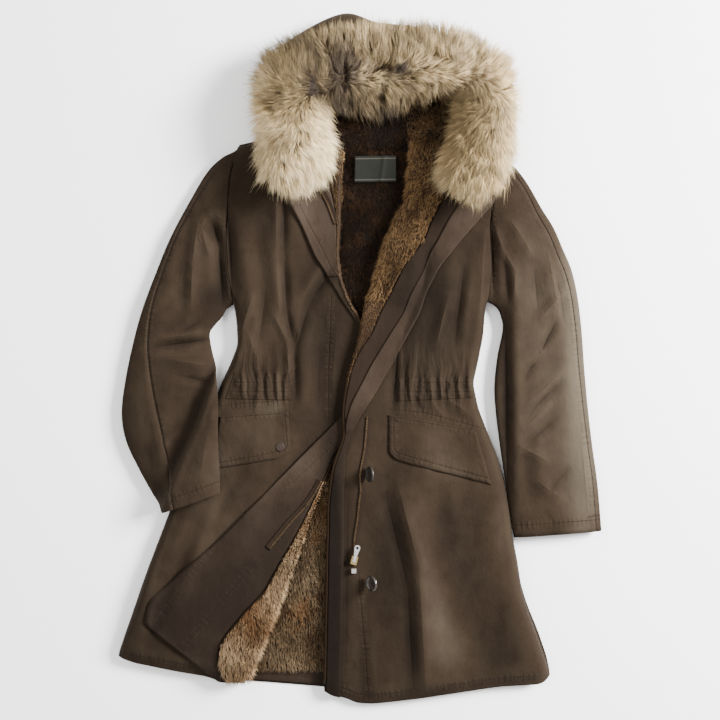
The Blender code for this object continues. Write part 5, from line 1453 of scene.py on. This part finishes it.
@dataclass
class Sleeve:
    """A two-piece sleeve, lying flat: a tube of rounded oval sections."""

    name: str
    table: Table
    side: Table
    toward: float
    skirt: float
    creases: Table
    ground: Ground
    stations: int = 120
    roundness: float = 2.6
    spans: int = 12
    span_length: float = 50.0
    cuff_hem: float = 20.0

    def rings(self) -> tuple[Array, Array, int, int]:
        """Rings at the middle of the wall, their normals, and where the seams cross them."""
        grid = catmull(np.stack(list(self.table.values()), 1), 10)
        way = np.linspace(0, self.spans, self.stations)
        at = np.arange(len(grid)) / 10
        ox, ol, ix, il, tall, seam = (np.interp(way, at, grid[:, i])[:, None] for i in range(6))
        outer = seam * (1 - np.cos(steps(8) * math.pi / 2))
        top = between(seam, 1, np.sin(steps(33)[:, 1:] * math.pi / 2))
        under = (1 + np.cos(steps(22)[:, 1:-1] * math.pi)) / 2 + 0 * seam
        across = np.hstack([outer, top, under])
        upper = outer.shape[1] + top.shape[1] - 1
        sign = np.where(np.arange(across.shape[1]) <= upper, 1.0, -1.0)
        rise = sign * np.sqrt(np.maximum(0, 1 - np.abs(2 * across - 1) ** self.roundness))
        x, level = between(ox, ix, across), between(ol, il, across)
        armhole = read(self.side, "x", np.clip(level, 0, ARMPIT)) - self.toward * 0.8
        decay = np.clip(1 - way / 3.5, 0, 1)[:, None]
        inside = self.toward * np.minimum(self.toward * (armhole - x), 0)
        first = smooth(1 - way / 0.5)[:, None]
        x = x + inside * decay * (1 - first) + (armhole - x) * first
        base = self.ground.under(x, -level, self.ground.cover(12.0, 10.0))
        base = np.where(way[:, None] < self.skirt, 0.0, base)
        base = base * smooth((way[:, None] - self.skirt) / 0.4)
        base = np.where(base > 0.5, base + 0.4, 0.0)
        eased = base.copy()
        for _ in range(6):
            eased = 0.5 * eased + 0.25 * (np.roll(eased, 1, axis=1) + np.roll(eased, -1, axis=1))
        lift = np.where(sign > 0, np.maximum(eased, base), base)
        fold = creased(x, level, self.creases)
        fold = waved(fold, x, level, ((1.2, 42, 31), (0.55, 15, 32)))
        cuff = (self.spans - way)[:, None] * self.span_length
        fold = fold + 0.7 * billow(x, level, 8, 33) * np.exp(-cuff / 12)
        fold = fold * np.clip(rise, 0, 1) ** 0.5
        z = lift + HALF + 0.12 + (tall - CLOTH) / 2 * (1 + rise) + fold
        points = spot(x, level, z)
        around = np.roll(points, -1, axis=1) - np.roll(points, 1, axis=1)
        normal = unit(np.cross(around, np.gradient(points, axis=0)))
        centre = points.mean(axis=1, keepdims=True)
        facing = np.sign(np.sum(normal * (points - centre), axis=(1, 2)))
        return points, normal * facing[:, None, None], outer.shape[1] - 1, upper

    def build(self) -> None:
        """Both pieces, with the elbow seam, the armhole and the cuff's hem."""
        points, normals, seam, inner = self.rings()
        count = points.shape[1]
        elbow = tuple((p[0], -p[1]) for p in points[::6, seam])
        before, ends = (np.array([(self.table[edge + "_x"][row], self.table[edge + "_level"][row])
                                  for edge in ("outer", "inner")]) for row in (-2, -1))
        hem = ends - (ends - before) / np.hypot(*(ends - before).T)[:, None] * self.cuff_hem
        armhole = np.stack([self.side["x"] - 1.5 * self.toward, self.side["level"]], -1)[:6]
        seams = [Seam(elbow, 0.16), Seam(hem, 0.5), Seam(armhole, 0.2)]
        picks = {"top": np.arange(seam, inner + 1),
                 "under": np.arange(inner, count + seam + 1) % count}
        for piece, pick in picks.items():
            outer = points[:, pick] + HALF * normals[:, pick]
            inside = points[:, pick] - HALF * normals[:, pick]
            outer[..., 2] = np.maximum(outer[..., 2], 0.05)
            inside[..., 2] = np.maximum(inside[..., 2], 0.3)
            for grid in (outer, inside):
                for end, near in ((0, 1), (-1, -2)):
                    step = grid[:, near] - grid[:, end]
                    length = np.linalg.norm(step, axis=-1, keepdims=True)
                    grid[:, end] += step / np.maximum(length, 1e-6) * np.minimum(0.03, 0.4 * length)
            folds = self.creases if piece == "top" else None
            made = wall(f"cloth_sleeve_{self.name}_{piece}", outer, inside, seams, 1.0, folds)
            dress(made, SHELL, "twill", f"sleeve_{self.name}_{piece}")
            size = {"top": (0.27, 0.66), "under": (0.3, 0.66)}[piece]
            sheet(size, outer)
        self.ground.add(raised(points[:, seam:inner + 1], HALF))


HOOD = columns(
    "neck_x x level",
    (-110, -166, -50), (-85, -176, -95), (-60, -152, -145), (-30, -100, -190),
    (-8, -26, -224), (15, 32, -209), (60, 100, -201), (90, 161, -181), (115, 215, -150),
    (150, 258, -105), (190, 262, -44))


@dataclass
class Hood:
    """The hood, opened flat: a floor, a rolled edge and its return, with a fur lining."""

    ground: Ground
    roll: float = 21.0
    turned_in: float = 42.0
    fur: float = 9.0

    def ply(self, distance: float) -> Array:
        """Working points of the hood's sheet, moved out by a distance."""
        neck = np.interp(np.linspace(0, len(HOOD["x"]) - 1, 81), np.arange(len(HOOD["x"])),
                         HOOD["neck_x"])
        outline = catmull(np.stack([HOOD["x"], HOOD["level"]], 1), 8)
        start = np.stack([neck, read(NECK, "level", neck, "x") - 0.5], 1)
        reach = outline - start
        length = np.linalg.norm(reach, axis=1, keepdims=True)
        way = reach / length
        flat_end = length - self.roll
        back = np.minimum(self.turned_in, length - self.roll - 16.0)
        floor, over = steps(16), steps(10)[:, 1:]
        angle = steps(14, -math.pi / 2, math.pi / 2)[:, 1:]
        along = np.hstack([flat_end * floor, flat_end + self.roll * np.cos(angle),
                           flat_end - over * back])
        out = np.hstack([0 * floor, np.cos(angle), 0 * over])
        up = np.hstack([0 * floor - 1, np.sin(angle), 0 * over + 1])
        height = self.roll * (1 + up) + HALF
        away = along + out * distance
        x = start[:, :1] + way[:, :1] * away
        level = start[:, 1:] + way[:, 1:] * away
        z = height + up * distance
        wave = 0.8 * billow(x, level, 24, 41) * np.clip(out + (up > 0.5), 0, 1)
        return spot(x, level, np.maximum(z + wave, 0.0))

    def build(self) -> None:
        """The shell and the lining's skin."""
        outer, inner = self.ply(HALF), self.ply(-HALF)
        edge = tuple((p[0], -p[1]) for p in outer[::4, -4])
        shell = wall("cloth_hood", outer, inner, [Seam(edge, 0.5)])
        dress(shell, SHELL, "twill", "hood_shell")
        sheet((0.6, 0.4), outer)
        under = HALF + GAP
        near, far = self.ply(-under)[:, :-2], self.ply(-under - 4.0)[:, :-2]
        skin = wall("skin_hood_lining", far, near)
        dress(skin, PELT_SKIN, "lining_fur", "hood_lining")
        sheet((0.58, 0.38), far)
        self.skin = far
        self.ground.add(outer)
        self.ground.add(far[:, :20])


RUFF = columns(
    "outer_x outer_level inner_x inner_level height",
    (-128, 93, -78, 96, 34), (-158, 78, -50, 86, 54), (-174, 42, -34, 52, 64),
    (-184, -4, -28, 4, 66), (-188, -58, -32, -36, 62), (-182, -118, -33, -66, 58),
    (-134, -172, -14, -54, 56), (-56, -199, 20, -36, 58), (10, -206, 59, -36, 58),
    (75, -202, 92, -54, 56), (141, -190, 132, -74, 54), (195, -166, 157, -82, 54),
    (250, -128, 161, -60, 56), (272, -66, 142, -20, 60), (273, -6, 123, 21, 64),
    (256, 46, 120, 62, 64), (246, 84, 138, 93, 54), (222, 99, 172, 104, 36))
PARTING = ((-98, -84), (-34, -110), (60, -112), (150, -112), (196, -104), (226, -62))
WHORL = -25.0
GREY_PATCHES = columns(
    "x level wide tall amount",
    (-24, -134, 17, 34, 0.6), (60, -66, 30, 17, 0.55), (-137, -72, 20, 13, 0.5),
    (-46, -34, 22, 24, 0.55), (-92, -150, 30, 24, 0.4), (20, -120, 90, 50, 0.28),
    (-70, -110, 40, 40, 0.25), (230, -40, 14, 30, 0.25), (120, -90, 24, 16, 0.3),
    (30, -76, 60, 22, 0.3), (-40, -70, 40, 26, 0.35))
# The ruff's pale patches; the negative ones darken the fur as painted shade, in the gaps between the
# crown and the lobes and among the lobes' tips.
PALE_PATCHES_AND_PAINTED_SHADE = columns(
    "x level wide tall amount",
    (-158, -98, 20, 16, 0.5), (-100, 60, 70, 44, 0.4), (200, 76, 70, 40, 0.2),
    (190, -140, 50, 40, 0.15), (0, -186, 80, 16, 0.2), (80, -40, 60, 12, 0.15),
    (-60, 10, 40, 40, 0.3), (240, -10, 30, 60, 0.2), (-110, -146, 46, 30, -0.55),
    (-30, -110, 60, 40, -0.1), (215, -96, 46, 26, -0.3), (40, -90, 60, 50, -0.15),
    (-128, -64, 20, 16, -0.3), (-90, -100, 46, 44, -0.5), (182, -62, 24, 26, -0.6),
    (180, 0, 34, 50, -0.4), (200, -30, 50, 40, -0.25), (-128, -30, 40, 30, 0.2),
    (196, 60, 40, 34, -0.3), (-108, 62, 40, 18, -0.3))


def parted(place: Array) -> tuple[Array, Array, Array]:
    """The way out from the fur's parting, how far off it is, and the way that it runs."""
    nearest = np.full(len(place), 1e9)
    way, along = np.zeros_like(place), np.zeros_like(place)
    points = np.array(PARTING, float)
    for a, b in zip(points[:-1], points[1:]):
        step = b - a
        part = np.clip((place - a) @ step / (step @ step), 0, 1)
        off = place - a - part[:, None] * step
        far = np.hypot(off[:, 0], off[:, 1])
        way = np.where((far < nearest)[:, None], off, way)
        along = np.where((far < nearest)[:, None], unit(step), along)
        nearest = np.minimum(nearest, far)
    return way / np.maximum(nearest, 1e-3)[:, None], nearest, along


@dataclass
class Ruff:
    """The long fur round the hood's opening: a skin on a padded core, and its hairs."""

    ground: Ground
    steps: int = 8
    inset: float = 0.19
    sink: float = 25.0
    guard_hairs: int = 8500
    under_hairs: int = 16500

    def surface(self) -> None:
        """The grids of the skin and of what is under it, from edge to edge."""
        grid = catmull(np.stack(list(RUFF.values()), 1), self.steps)
        ox, ol, ix, il, tall = (grid[:, i:i + 1] for i in range(5))
        across = steps(41, 0.02, 0.98)
        x, level = between(ox, ix, across), between(ol, il, across)
        cover = self.ground.cover(10.0, 14.0)
        base = self.ground.under(x, -level, cover)
        mid = base[:, 20:21].copy()
        for _ in range(60):
            mid[1:-1] = 0.5 * mid[1:-1] + 0.25 * (mid[:-2] + mid[2:])
        dome = (1 - np.abs(2 * across - 1) ** 2.6) ** 0.55
        tuft = waved(1.0, x, level, ((0.07, 30, 51), (0.05, 14, 52)))
        row = np.arange(len(grid))[:, None] / self.steps
        top = smooth((row - 4.4) / 1.2) * smooth((12.6 - row) / 1.2)
        inner = self.inset - 0.085 * top + (1 - 2 * self.inset + 0.085 * top) * across
        x, level = between(ox, ix, inner), between(ol, il, inner)
        floor = self.ground.under(x, -level, cover) + 1.5
        skin = np.maximum(mid + np.maximum(tall * tuft - self.sink, 8) * dome, floor + 2)
        self.skin = spot(x, level, skin)
        self.floor = spot(x, level, np.minimum(floor, skin - 1.0))

    def build(self) -> None:
        """Three lengths, each a core and its fur."""
        self.surface()
        spans = (("right_lobe", 1.2, 5.5), ("crown", 5.5, 11.5), ("left_lobe", 11.5, 15.9))
        for number, (name, first, last) in enumerate(spans):
            rows = slice(int(round(first * self.steps)), int(round(last * self.steps)) + 1)
            core = wall("core_ruff_" + name, self.skin[rows], self.floor[rows])
            dress(core, RUFF_SKIN, "ruff_fur", "ruff_" + name)
            first, last = max(first, 1.6), min(last, 15.6)
            coats = (self.hair(first, last, self.guard_hairs, number, True),
                     self.hair(first, last, self.under_hairs, number + 9, False))
            dress(fur_object("fur_ruff_" + name, *coats), RUFF_FUR, "ruff_fur")

    def hair(self, first: float, last: float, count: int, seed: int, guard: bool) -> Hairs:
        """The hairs of one length: away from the parting, in tufts within tufts."""
        rng = np.random.default_rng(SEED + seed)
        s = rng.uniform(first, last, count) * self.steps
        end = np.clip(np.maximum(2.7 - s / self.steps, s / self.steps - 14.5), 0, 0.97)
        u = 20 + (rng.beta(0.8, 0.8, count) * 40 - 20) * np.sqrt(1 - end ** 2)
        root = resampled(self.skin, s, u)
        normal = resampled(grid_normals(self.skin), s, u)
        place = root[:, :2] * (1, -1)
        wander = np.stack([12 * billow(*place.T, 22, 56), 14 * billow(*place.T, 26, 57)], 1)
        way, far, along = parted(place + wander)
        big, chance = tufts(place, 21.0, SEED)
        small, luck = tufts(place, 5.6, SEED + 1)
        crown = smooth((s / self.steps - 4.2) / 1.4) * smooth((12.8 - s / self.steps) / 1.4)
        middle = np.exp(-(far / 15) ** 2)[:, None]
        along = along * np.sign(place[:, :1] - WHORL)
        way = unit(way * (1 - 0.85 * middle) + 0.85 * middle * along)
        turn = 0.45 * billow(place[:, 0], place[:, 1], 36, 55) + 0.7 * (chance[:, 0] - 0.5)
        turn = turn + 0.5 * (luck[:, 0] - 0.5) + rng.normal(0, 0.14, count)
        way = np.stack([way[:, 0] * np.cos(turn) - way[:, 1] * np.sin(turn),
                        way[:, 0] * np.sin(turn) + way[:, 1] * np.cos(turn)], axis=1)
        way = way + 0.03 * (small - place) + 0.006 * (big - place)
        edge = np.abs(u / 20 - 1)
        lift = 0.3 - 0.18 * smooth(far / 50) - 0.5 * edge ** 3
        lift = lift + 0.35 * (chance[:, 1] - 0.5) + 0.2 * (luck[:, 1] - 0.5)
        lean = np.stack([way[:, 0], -way[:, 1], lift], axis=1)
        rise = normal + 0.35 * lean + rng.normal(0, 0.08, (count, 3))
        low = smooth((place[:, 1] + 40) / 90)
        length = (33 + 11 * low) * rng.uniform(0.75, 1.12, count) * (0.85 + 0.25 * chance[:, 2])
        if guard:
            length = length * np.where(rng.uniform(0, 1, count) < 0.15, 1.3, 1.0)
        else:
            rise = 0.45 * rise
            length = 0.86 * length
        width = rng.uniform(0.5, 0.95, count)
        light = patched(0.0, *place.T, PALE_PATCHES_AND_PAINTED_SHADE)
        pale = 0.36 - 0.33 * crown + light + 0.25 * (luck[:, 3] - 0.5)
        pale = np.clip(pale + rng.normal(0, 0.2, count), 0, 1)
        grey = 0.3 * crown + patched(0.0, *place.T, GREY_PATCHES) + 0.35 * (chance[:, 3] - 0.6)
        grey = np.clip(grey + 0.35 * (luck[:, 2] - 0.6), 0, 0.92)
        # The negative pale patches also darken each hair: painted shade.
        tone = 0.62 - 0.27 * crown + np.minimum(light, 0)
        tone = tone + 0.4 * (luck[:, 1] - 0.5) + 0.2 * (chance[:, 1] - 0.5)
        tone = np.clip(tone + rng.normal(0, 0.2, count), 0, 1)
        return Hairs(root, unit(rise), lean, length, width, pale, tone, grey, bent=guard)


# Zones of the linings' fur: where, how wide and tall, how cream (or rust below 0), how light; the dark
# zone along the left front's edge at x -52 is painted shadow.
FUR_ZONES = columns(
    "x level wide tall amount light",
    (-120, 706, 34, 44, 0.55, 0.12), (-176, 786, 34, 40, -0.5, 0), (-226, 856, 22, 30, 0.6, 0.1),
    (-176, 880, 26, 26, -0.3, 0), (-66, 622, 22, 44, -0.6, 0.1), (-86, 716, 18, 30, 0.35, 0.1),
    (-106, 778, 24, 36, -0.7, 0.15), (-134, 862, 36, 26, 0.6, 0.25), (-72, 850, 20, 44, -0.2, -0.45),
    (-52, 760, 14, 80, 0, -0.35), (-98, 700, 6, 8, 0, -0.5), (-80, 742, 6, 9, 0, -0.5),
    (-112, 750, 5, 9, 0, -0.5), (-90, 800, 6, 10, 0, -0.5), (-118, 826, 6, 9, 0, -0.45),
    (-140, 836, 5, 9, 0, -0.45), (-70, 690, 5, 8, 0, -0.4), (25, 256, 24, 46, 0.1, 0.4),
    (90, 66, 30, 40, -0.1, 0.3), (106, 112, 18, 60, 0, 0.4), (60, 180, 14, 30, 0, -0.3),
    (84, 130, 10, 22, 0, -0.3), (46, 232, 10, 18, -0.3, -0.3))


@dataclass
class LiningFur:
    """The short rabbit fur of the linings, where it shows."""

    ground: Ground
    hood: Hood

    def spikes(self, name: str, root: Array, normal: Array, way: Array, length: float,
               finish: Pelt, seed: int, light: Array | float = 0.0) -> None:
        """Short hairs at given roots, leaning one way in small tufts."""
        rng = np.random.default_rng(seed)
        count = len(root)
        place = root[:, :2]
        big, chance = tufts(place, 17.0, seed)
        small, luck = tufts(place, 5.5, seed + 1)
        drawn = 0.012 * (big - place) + 0.02 * (small - place)
        drawn = drawn + 0.5 * (chance[:, :2] - 0.5) + 0.3 * (luck[:, :2] - 0.5)
        lean = way + np.hstack([drawn, 0 * drawn[:, :1]]) + rng.normal(0, 0.2, (count, 3))
        wide = 0.7 * billow(place[:, 0], place[:, 1], 34, seed + 2)
        sway = np.stack([5 * billow(*place.T, 11, 63), 7 * billow(*place.T, 13, 64)], 1)
        x, level = (place * (1, -1) + sway).T
        cream, glow = (patched(0.0, x, level, FUR_ZONES, key) for key in ("amount", "light"))
        pale = 0.45 + 0.5 * (luck[:, 2] - 0.5) + 0.3 * wide + light + cream + rng.normal(0, 0.2, count)
        tone = 0.5 + 0.25 * (luck[:, 3] - 0.5) + 0.25 * (chance[:, 2] - 0.5) + 0.3 * wide
        tone = np.clip(tone + 0.6 * light + glow + rng.normal(0, 0.16, count), 0, 1)
        grey = np.clip(0.8 * (chance[:, 3] - 0.6) - 0.5 * wide - light - 1.2 * cream, 0, 0.85)
        hairs = Hairs(root, 0.75 * normal, lean, length * rng.uniform(0.75, 1.25, count),
                      rng.uniform(0.7, 1.2, count), np.clip(pale, 0, 1), tone, grey, bent=False)
        dress(fur_object(name, hairs), finish, "lining_fur")

    @staticmethod
    def along(column: Array, rows: Array) -> Array:
        """A column of values read between its rows."""
        return np.interp(rows, np.arange(len(column)), column[:, 0])

    def front(self, panel: FrontPanel, zones: tuple) -> None:
        """The fur that shows round a front's fold and on its strip, one mesh for each zone."""
        strip = panel.value("strip")
        runs = [panel.run(0.9, 1, 4), panel.arc(5), panel.turned(panel.least(), strip, 14)]
        points, normals = (np.concatenate(part, axis=1) for part in zip(*runs))
        fur = panel.value("fur")
        under = (HALF + GAP + np.clip(0.32 * fur, 0.8, 4.0))[..., None]
        skin = points - under * normals
        levels = panel.rows[:, 0]
        for name, first, last, count, length, way, finish in zones:
            rng = np.random.default_rng(SEED + count)
            low, high = np.interp((first, last), levels, np.arange(len(levels)))
            at = rng.uniform(low, high, 3 * count)
            u = rng.uniform(0, skin.shape[1] - 1, 3 * count)
            wide = self.along(strip + fur, at)
            kept = np.nonzero(rng.uniform(0, 84, 3 * count) < wide)[0][:count]
            at, u = at[kept], u[kept]
            root = resampled(skin, at, u)
            normal = -unit(resampled(normals, at, u))
            reach = length * np.clip(self.along(fur, at) / FULL_ROLL, 0.35, 1.0)
            self.spikes(f"fur_front_{panel.name}_{name}", root, normal, np.array(way), reach, finish,
                        SEED + count)

    def back(self) -> None:
        """The fur of the back lining, where nothing lies over it."""
        rng = np.random.default_rng(SEED + 7)
        for name, first, last, count, finish in (("neck", 0, 330, 10500, RABBIT_DARK),
                                                 ("skirt", 520, 878, 12000, RABBIT_OLIVE)):
            x = rng.uniform(-170, 110, 40 * count)
            level = rng.uniform(first, last, 40 * count)
            over = self.ground.under(x, -level, self.ground.height)
            bare = np.nonzero((over < BACK_FUR_TOP) & (over > 2.0))[0][:count]
            x, level = x[bare], level[bare]
            root = spot(x, level, 4.8 + BACK_FUR_LOW + swell(x, level) - 0.6)
            turn = 1.1 * billow(x, level, 48, 61)
            way = np.stack([0.7 * np.sin(turn), -np.cos(turn) - 0.5, 0 * turn], -1)
            self.spikes("fur_back_" + name, root, np.array([0.0, 0.0, 1.0]) + 0 * root, way, 10.5,
                        finish, SEED + first)

    def inside_hood(self) -> None:
        """The fur of the hood's floor and rolled edge."""
        skin = self.hood.skin
        rng = np.random.default_rng(SEED + 9)
        count = 60000
        s, u = rng.uniform(0, skin.shape[0] - 1, count), rng.uniform(0, 28, count)
        root = resampled(skin, s, u)
        kept = np.nonzero((root[:, 1] < 130) & (np.abs(root[:, 0] - 48) < 118))[0][:9500]
        root = root[kept]
        normal = unit(resampled(grid_normals(skin), s, u))[kept]
        way = np.array([0.2, -0.9, 0.1]) + 0 * root
        light = 0.3 * smooth((root[:, 0] - 60) / 40) + 0.3 * smooth((-20 - root[:, 0]) / 40) - 0.12
        panel = root[:, 0] + 7 * billow(root[:, 0], root[:, 1], 12, 65) > 84
        for name, part, finish in (("", ~panel, RABBIT_DARK), ("_panel", panel, RABBIT_TAN)):
            self.spikes("fur_hood" + name, root[part], normal[part], way[part], self.hood.fur,
                        finish, SEED + 10, light[part])


ZIP_LEFT = ((14, 452), (12, 480), (9, 509), (2, 548), (3, 575), (0, 600), (-2, 622), (-7, 654),
            (-8, 676))
ZIP_RIGHT_UPPER = ((-67, 68), (-60, 81), (-53, 94), (-46, 112), (-40, 129))
ZIP_RIGHT_LOWER = ((-63, 560), (-71, 575), (-81, 591), (-96, 610), (-113, 628), (-132, 651),
                   (-151, 674))


@dataclass
class Zip:
    """One visible length of the zip: a woven tape and its teeth."""

    name: str
    route: tuple
    toward: float
    ground: Ground
    edges: tuple = (-2.6, 7.4)
    thick: float = 0.8
    pitch: float = 2.6
    tooth: tuple = (0.85, 1.4, 1.2)

    def build(self) -> None:
        """The tape as a wall, and the teeth as small blocks along it."""
        line = catmull(np.array(self.route, float), 12)
        step = unit(np.gradient(line, axis=0))
        side = np.stack([step[:, 1], -step[:, 0]], 1) * self.toward
        out = steps(9, *self.edges)
        x = line[:, :1] + side[:, :1] * out
        level = line[:, 1:] + side[:, 1:] * out
        cover = self.ground.cover(2.0, 4.0)
        near = spot(x, level, self.ground.under(x, -level, cover) + 0.3)
        tape = wall("cloth_" + self.name, raised(near, self.thick), near)
        dress(tape, PAINTED_SHADE_FACING, "tape", self.name)
        part = np.linalg.norm(np.diff(line, axis=0), axis=1)
        sheet((0.011, float(part.sum()) * MM))
        length = np.concatenate([[0], np.cumsum(part)])
        at = np.arange(1.0, length[-1] - 1.0, self.pitch)
        mid = np.stack([np.interp(at, length, line[:, i]) for i in range(2)], 1)
        way = unit(np.stack([np.interp(at, length, step[:, i]) for i in range(2)], 1))
        cross = np.stack([way[:, 1], -way[:, 0]], 1)
        corner = np.array([(i, j, k) for i in (-1, 1) for j in (-1, 1) for k in (0, 1)], float)
        ahead, wide, tall = (corner * self.tooth)[None].T
        base = self.ground.under(mid[:, 0], -mid[:, 1], cover) + 1.0
        plan = mid[:, None] + way[:, None] * ahead + cross[:, None] * wide
        points = spot(plan[..., 0], plan[..., 1], base[:, None] + tall[:, 0])
        box = np.array([(0, 1, 3, 2), (4, 6, 7, 5), (0, 4, 5, 1), (2, 3, 7, 6), (0, 2, 6, 4),
                        (1, 5, 7, 3)])
        faces = (box[None] + 8 * np.arange(len(at))[:, None, None]).reshape(-1, 4)
        made = mesh_object("teeth_" + self.name, in_frame(points.reshape(-1, 3)), faces)
        dress(made, TEETH, "brass")
        made.data.polygons.foreach_set("use_smooth", [False] * len(made.data.polygons))


def turned(profile: tuple, sides: int = 48) -> tuple[Array, Array]:
    """Points and faces of a profile of radius and height, turned round Z."""
    radius, height = np.array(profile, float).T
    angle = np.arange(sides) * 2 * math.pi / sides
    x, y = radius[:, None] * np.cos(angle), radius[:, None] * np.sin(angle)
    points = spot(x, -y, height[:, None]).reshape(-1, 3)
    index = np.arange(len(points)).reshape(len(radius), sides)
    after = np.roll(index, -1, axis=1)
    faces = np.stack([index[:-1], after[:-1], after[1:], index[1:]], -1).reshape(-1, 4)
    return points, faces


@dataclass
class Buttons:
    """Two horn buttons tipped on their shanks, and the flap's snap, as radii and heights."""

    button: tuple = ((0.01, 0), (11.9, 0), (13.1, 0.6), (13.5, 1.7), (13.4, 3), (12.6, 4.2),
                     (11.3, 4.4), (10.1, 4), (8.9, 3.1), (7.1, 2.8), (0.01, 2.7))
    snap: tuple = ((0.01, 0), (7.1, 0), (7.5, 0.5), (7, 1.3), (5.8, 1.9), (5, 1.7), (4.4, 1.5),
                   (2, 2), (0.01, 2.2))
    tips: tuple = (64.0, 51.0)

    def build(self) -> None:
        """Each in its CAD node's own box."""
        # The upper button takes the darker horn, as painted shade.
        self.one("button_upper", self.button, self.tips[0], PAINTED_SHADE_HORN)
        self.one("button_lower", self.button, self.tips[1], HORN)
        self.one("snap_right", self.snap, 0.0, SNAP)

    def one(self, name: str, profile: tuple, tip: float, finish: Hard) -> None:
        """Turns the profile, tips it about Y, and sets it in the middle of its node's box."""
        points, faces = turned(profile)
        angle = math.radians(-tip)
        turn = np.array([(math.cos(angle), 0, math.sin(angle)), (0, 1, 0),
                         (-math.sin(angle), 0, math.cos(angle))])
        points = points @ turn.T
        low, high = (np.array(c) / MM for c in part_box(name))
        middle = 0.5 * (points.min(0) + points.max(0))
        points = (points - middle + 0.5 * (low + high)) * MM
        made = mesh_object("turned_" + name, points, faces)
        dress(made, finish, "horn", name)


@dataclass
class Studio:
    """The floor, the lights and the camera, in metres."""

    height: float = 1.9
    half_view: float = 0.612
    middle: tuple = (0.000855, -0.00135)
    floor_half: float = 6.0
    floor_gap: float = 0.0008

    def build(self) -> None:
        """Makes all of them."""
        self.floor()
        self.lights()
        self.camera()

    def floor(self) -> None:
        """A plain pale floor."""
        size = self.floor_half
        points = np.array([(-size, -size, 0), (size, -size, 0), (size, size, 0), (-size, size, 0)])
        made = mesh_object("floor", points + (0, 0, -self.floor_gap), np.array([(0, 1, 2, 3)]))
        finish = bpy.data.materials.new("pale floor")
        finish.use_nodes = True
        Net(finish.node_tree).fill(finish.node_tree.nodes["Principled BSDF"],
                                   Base_Color=(0.93, 0.93, 0.93), Roughness=0.9)
        made.data.materials.append(finish)

    def lamp(self, name: str, place: tuple, size: float, power: float) -> None:
        """A square soft light that looks at the coat."""
        light = bpy.data.lights.new(name, "AREA")
        light.size, light.energy = size, power
        made = linked(name, light)
        made.location = place
        made.rotation_euler = (-Vector(place)).to_track_quat("-Z", "Y").to_euler()

    def lights(self) -> None:
        """A large low key from the right, a weak fill and an even sky."""
        self.lamp("key", (2.5, 0.95, 1.7), 1.1, 620)
        self.lamp("fill", (-1.6, 0.8, 2.6), 2.0, 70)
        world = bpy.data.worlds.new("sky")
        world.use_nodes = True
        Net(world.node_tree).fill(world.node_tree.nodes["Background"], (0.99, 0.98, 0.97), 1.15)
        bpy.context.scene.world = world

    def camera(self) -> None:
        """A camera straight above, its upper edge towards the hood."""
        view = bpy.data.cameras.new("above")
        view.sensor_width = 36.0
        view.lens = 18.0 * self.height / self.half_view
        made = linked("above", view)
        made.location = (*self.middle, self.height)
        bpy.context.scene.camera = made


def hardware() -> None:
    """Finishes on the slider, its pull and the retaining box, which stay as they are."""
    for node, finish in (("zip_slider", BRASS), ("zip_pull", NICKEL), ("zip_box", NICKEL)):
        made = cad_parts[node]
        for place in made.material_slots:
            place.material = finish.material()


def main() -> None:
    """Builds the coat from the floor up, then its fur and the studio."""
    logging.basicConfig(level=logging.INFO, format="%(message)s")
    twill_group()
    seam_group()
    gather_group()
    pelt_group()
    ground = Ground()
    body = Body(ground)
    body.back()
    body.fronts()
    hood = Hood(ground)
    hood.build()
    fur = LiningFur(ground, hood)
    fur.back()
    body.trims()
    for name, table, side, toward, skirt, creases in (
            ("right", SLEEVE_RIGHT, SIDE_RIGHT, 1.0, SKIRT_RIGHT, CREASES_SLEEVE_RIGHT),
            ("left", SLEEVE_LEFT, SIDE_LEFT, -1.0, SKIRT_LEFT, CREASES_SLEEVE_LEFT)):
        Sleeve(name, table, side, toward, skirt, creases, ground).build()
    Zip("zip_tape_left", ZIP_LEFT, 1.0, ground).build()
    Zip("zip_tape_right_upper", ZIP_RIGHT_UPPER, 1.0, ground).build()
    Zip("zip_tape_right_lower", ZIP_RIGHT_LOWER, -1.0, ground).build()
    Buttons().build()
    hardware()
    fur.front(body.right, (("collar", 2, 300, 2600, 8.5, (0, -0.7, 0), RABBIT_GOLD),
                           ("skirt", 560, 890, 7500, 11.5, (0.1, -1.0, 0), RABBIT_CREAM)))
    fur.front(body.left, (("collar", 2, 255, 8500, 10.0, (-0.25, -0.9, 0), RABBIT_GOLD),
                          ("point", 255, 400, 1800, 8.5, (-0.2, -0.9, 0), RABBIT_TAN)))
    fur.inside_hood()
    Ruff(ground).build()
    Studio().build()


if __name__ == "__main__":
    main()
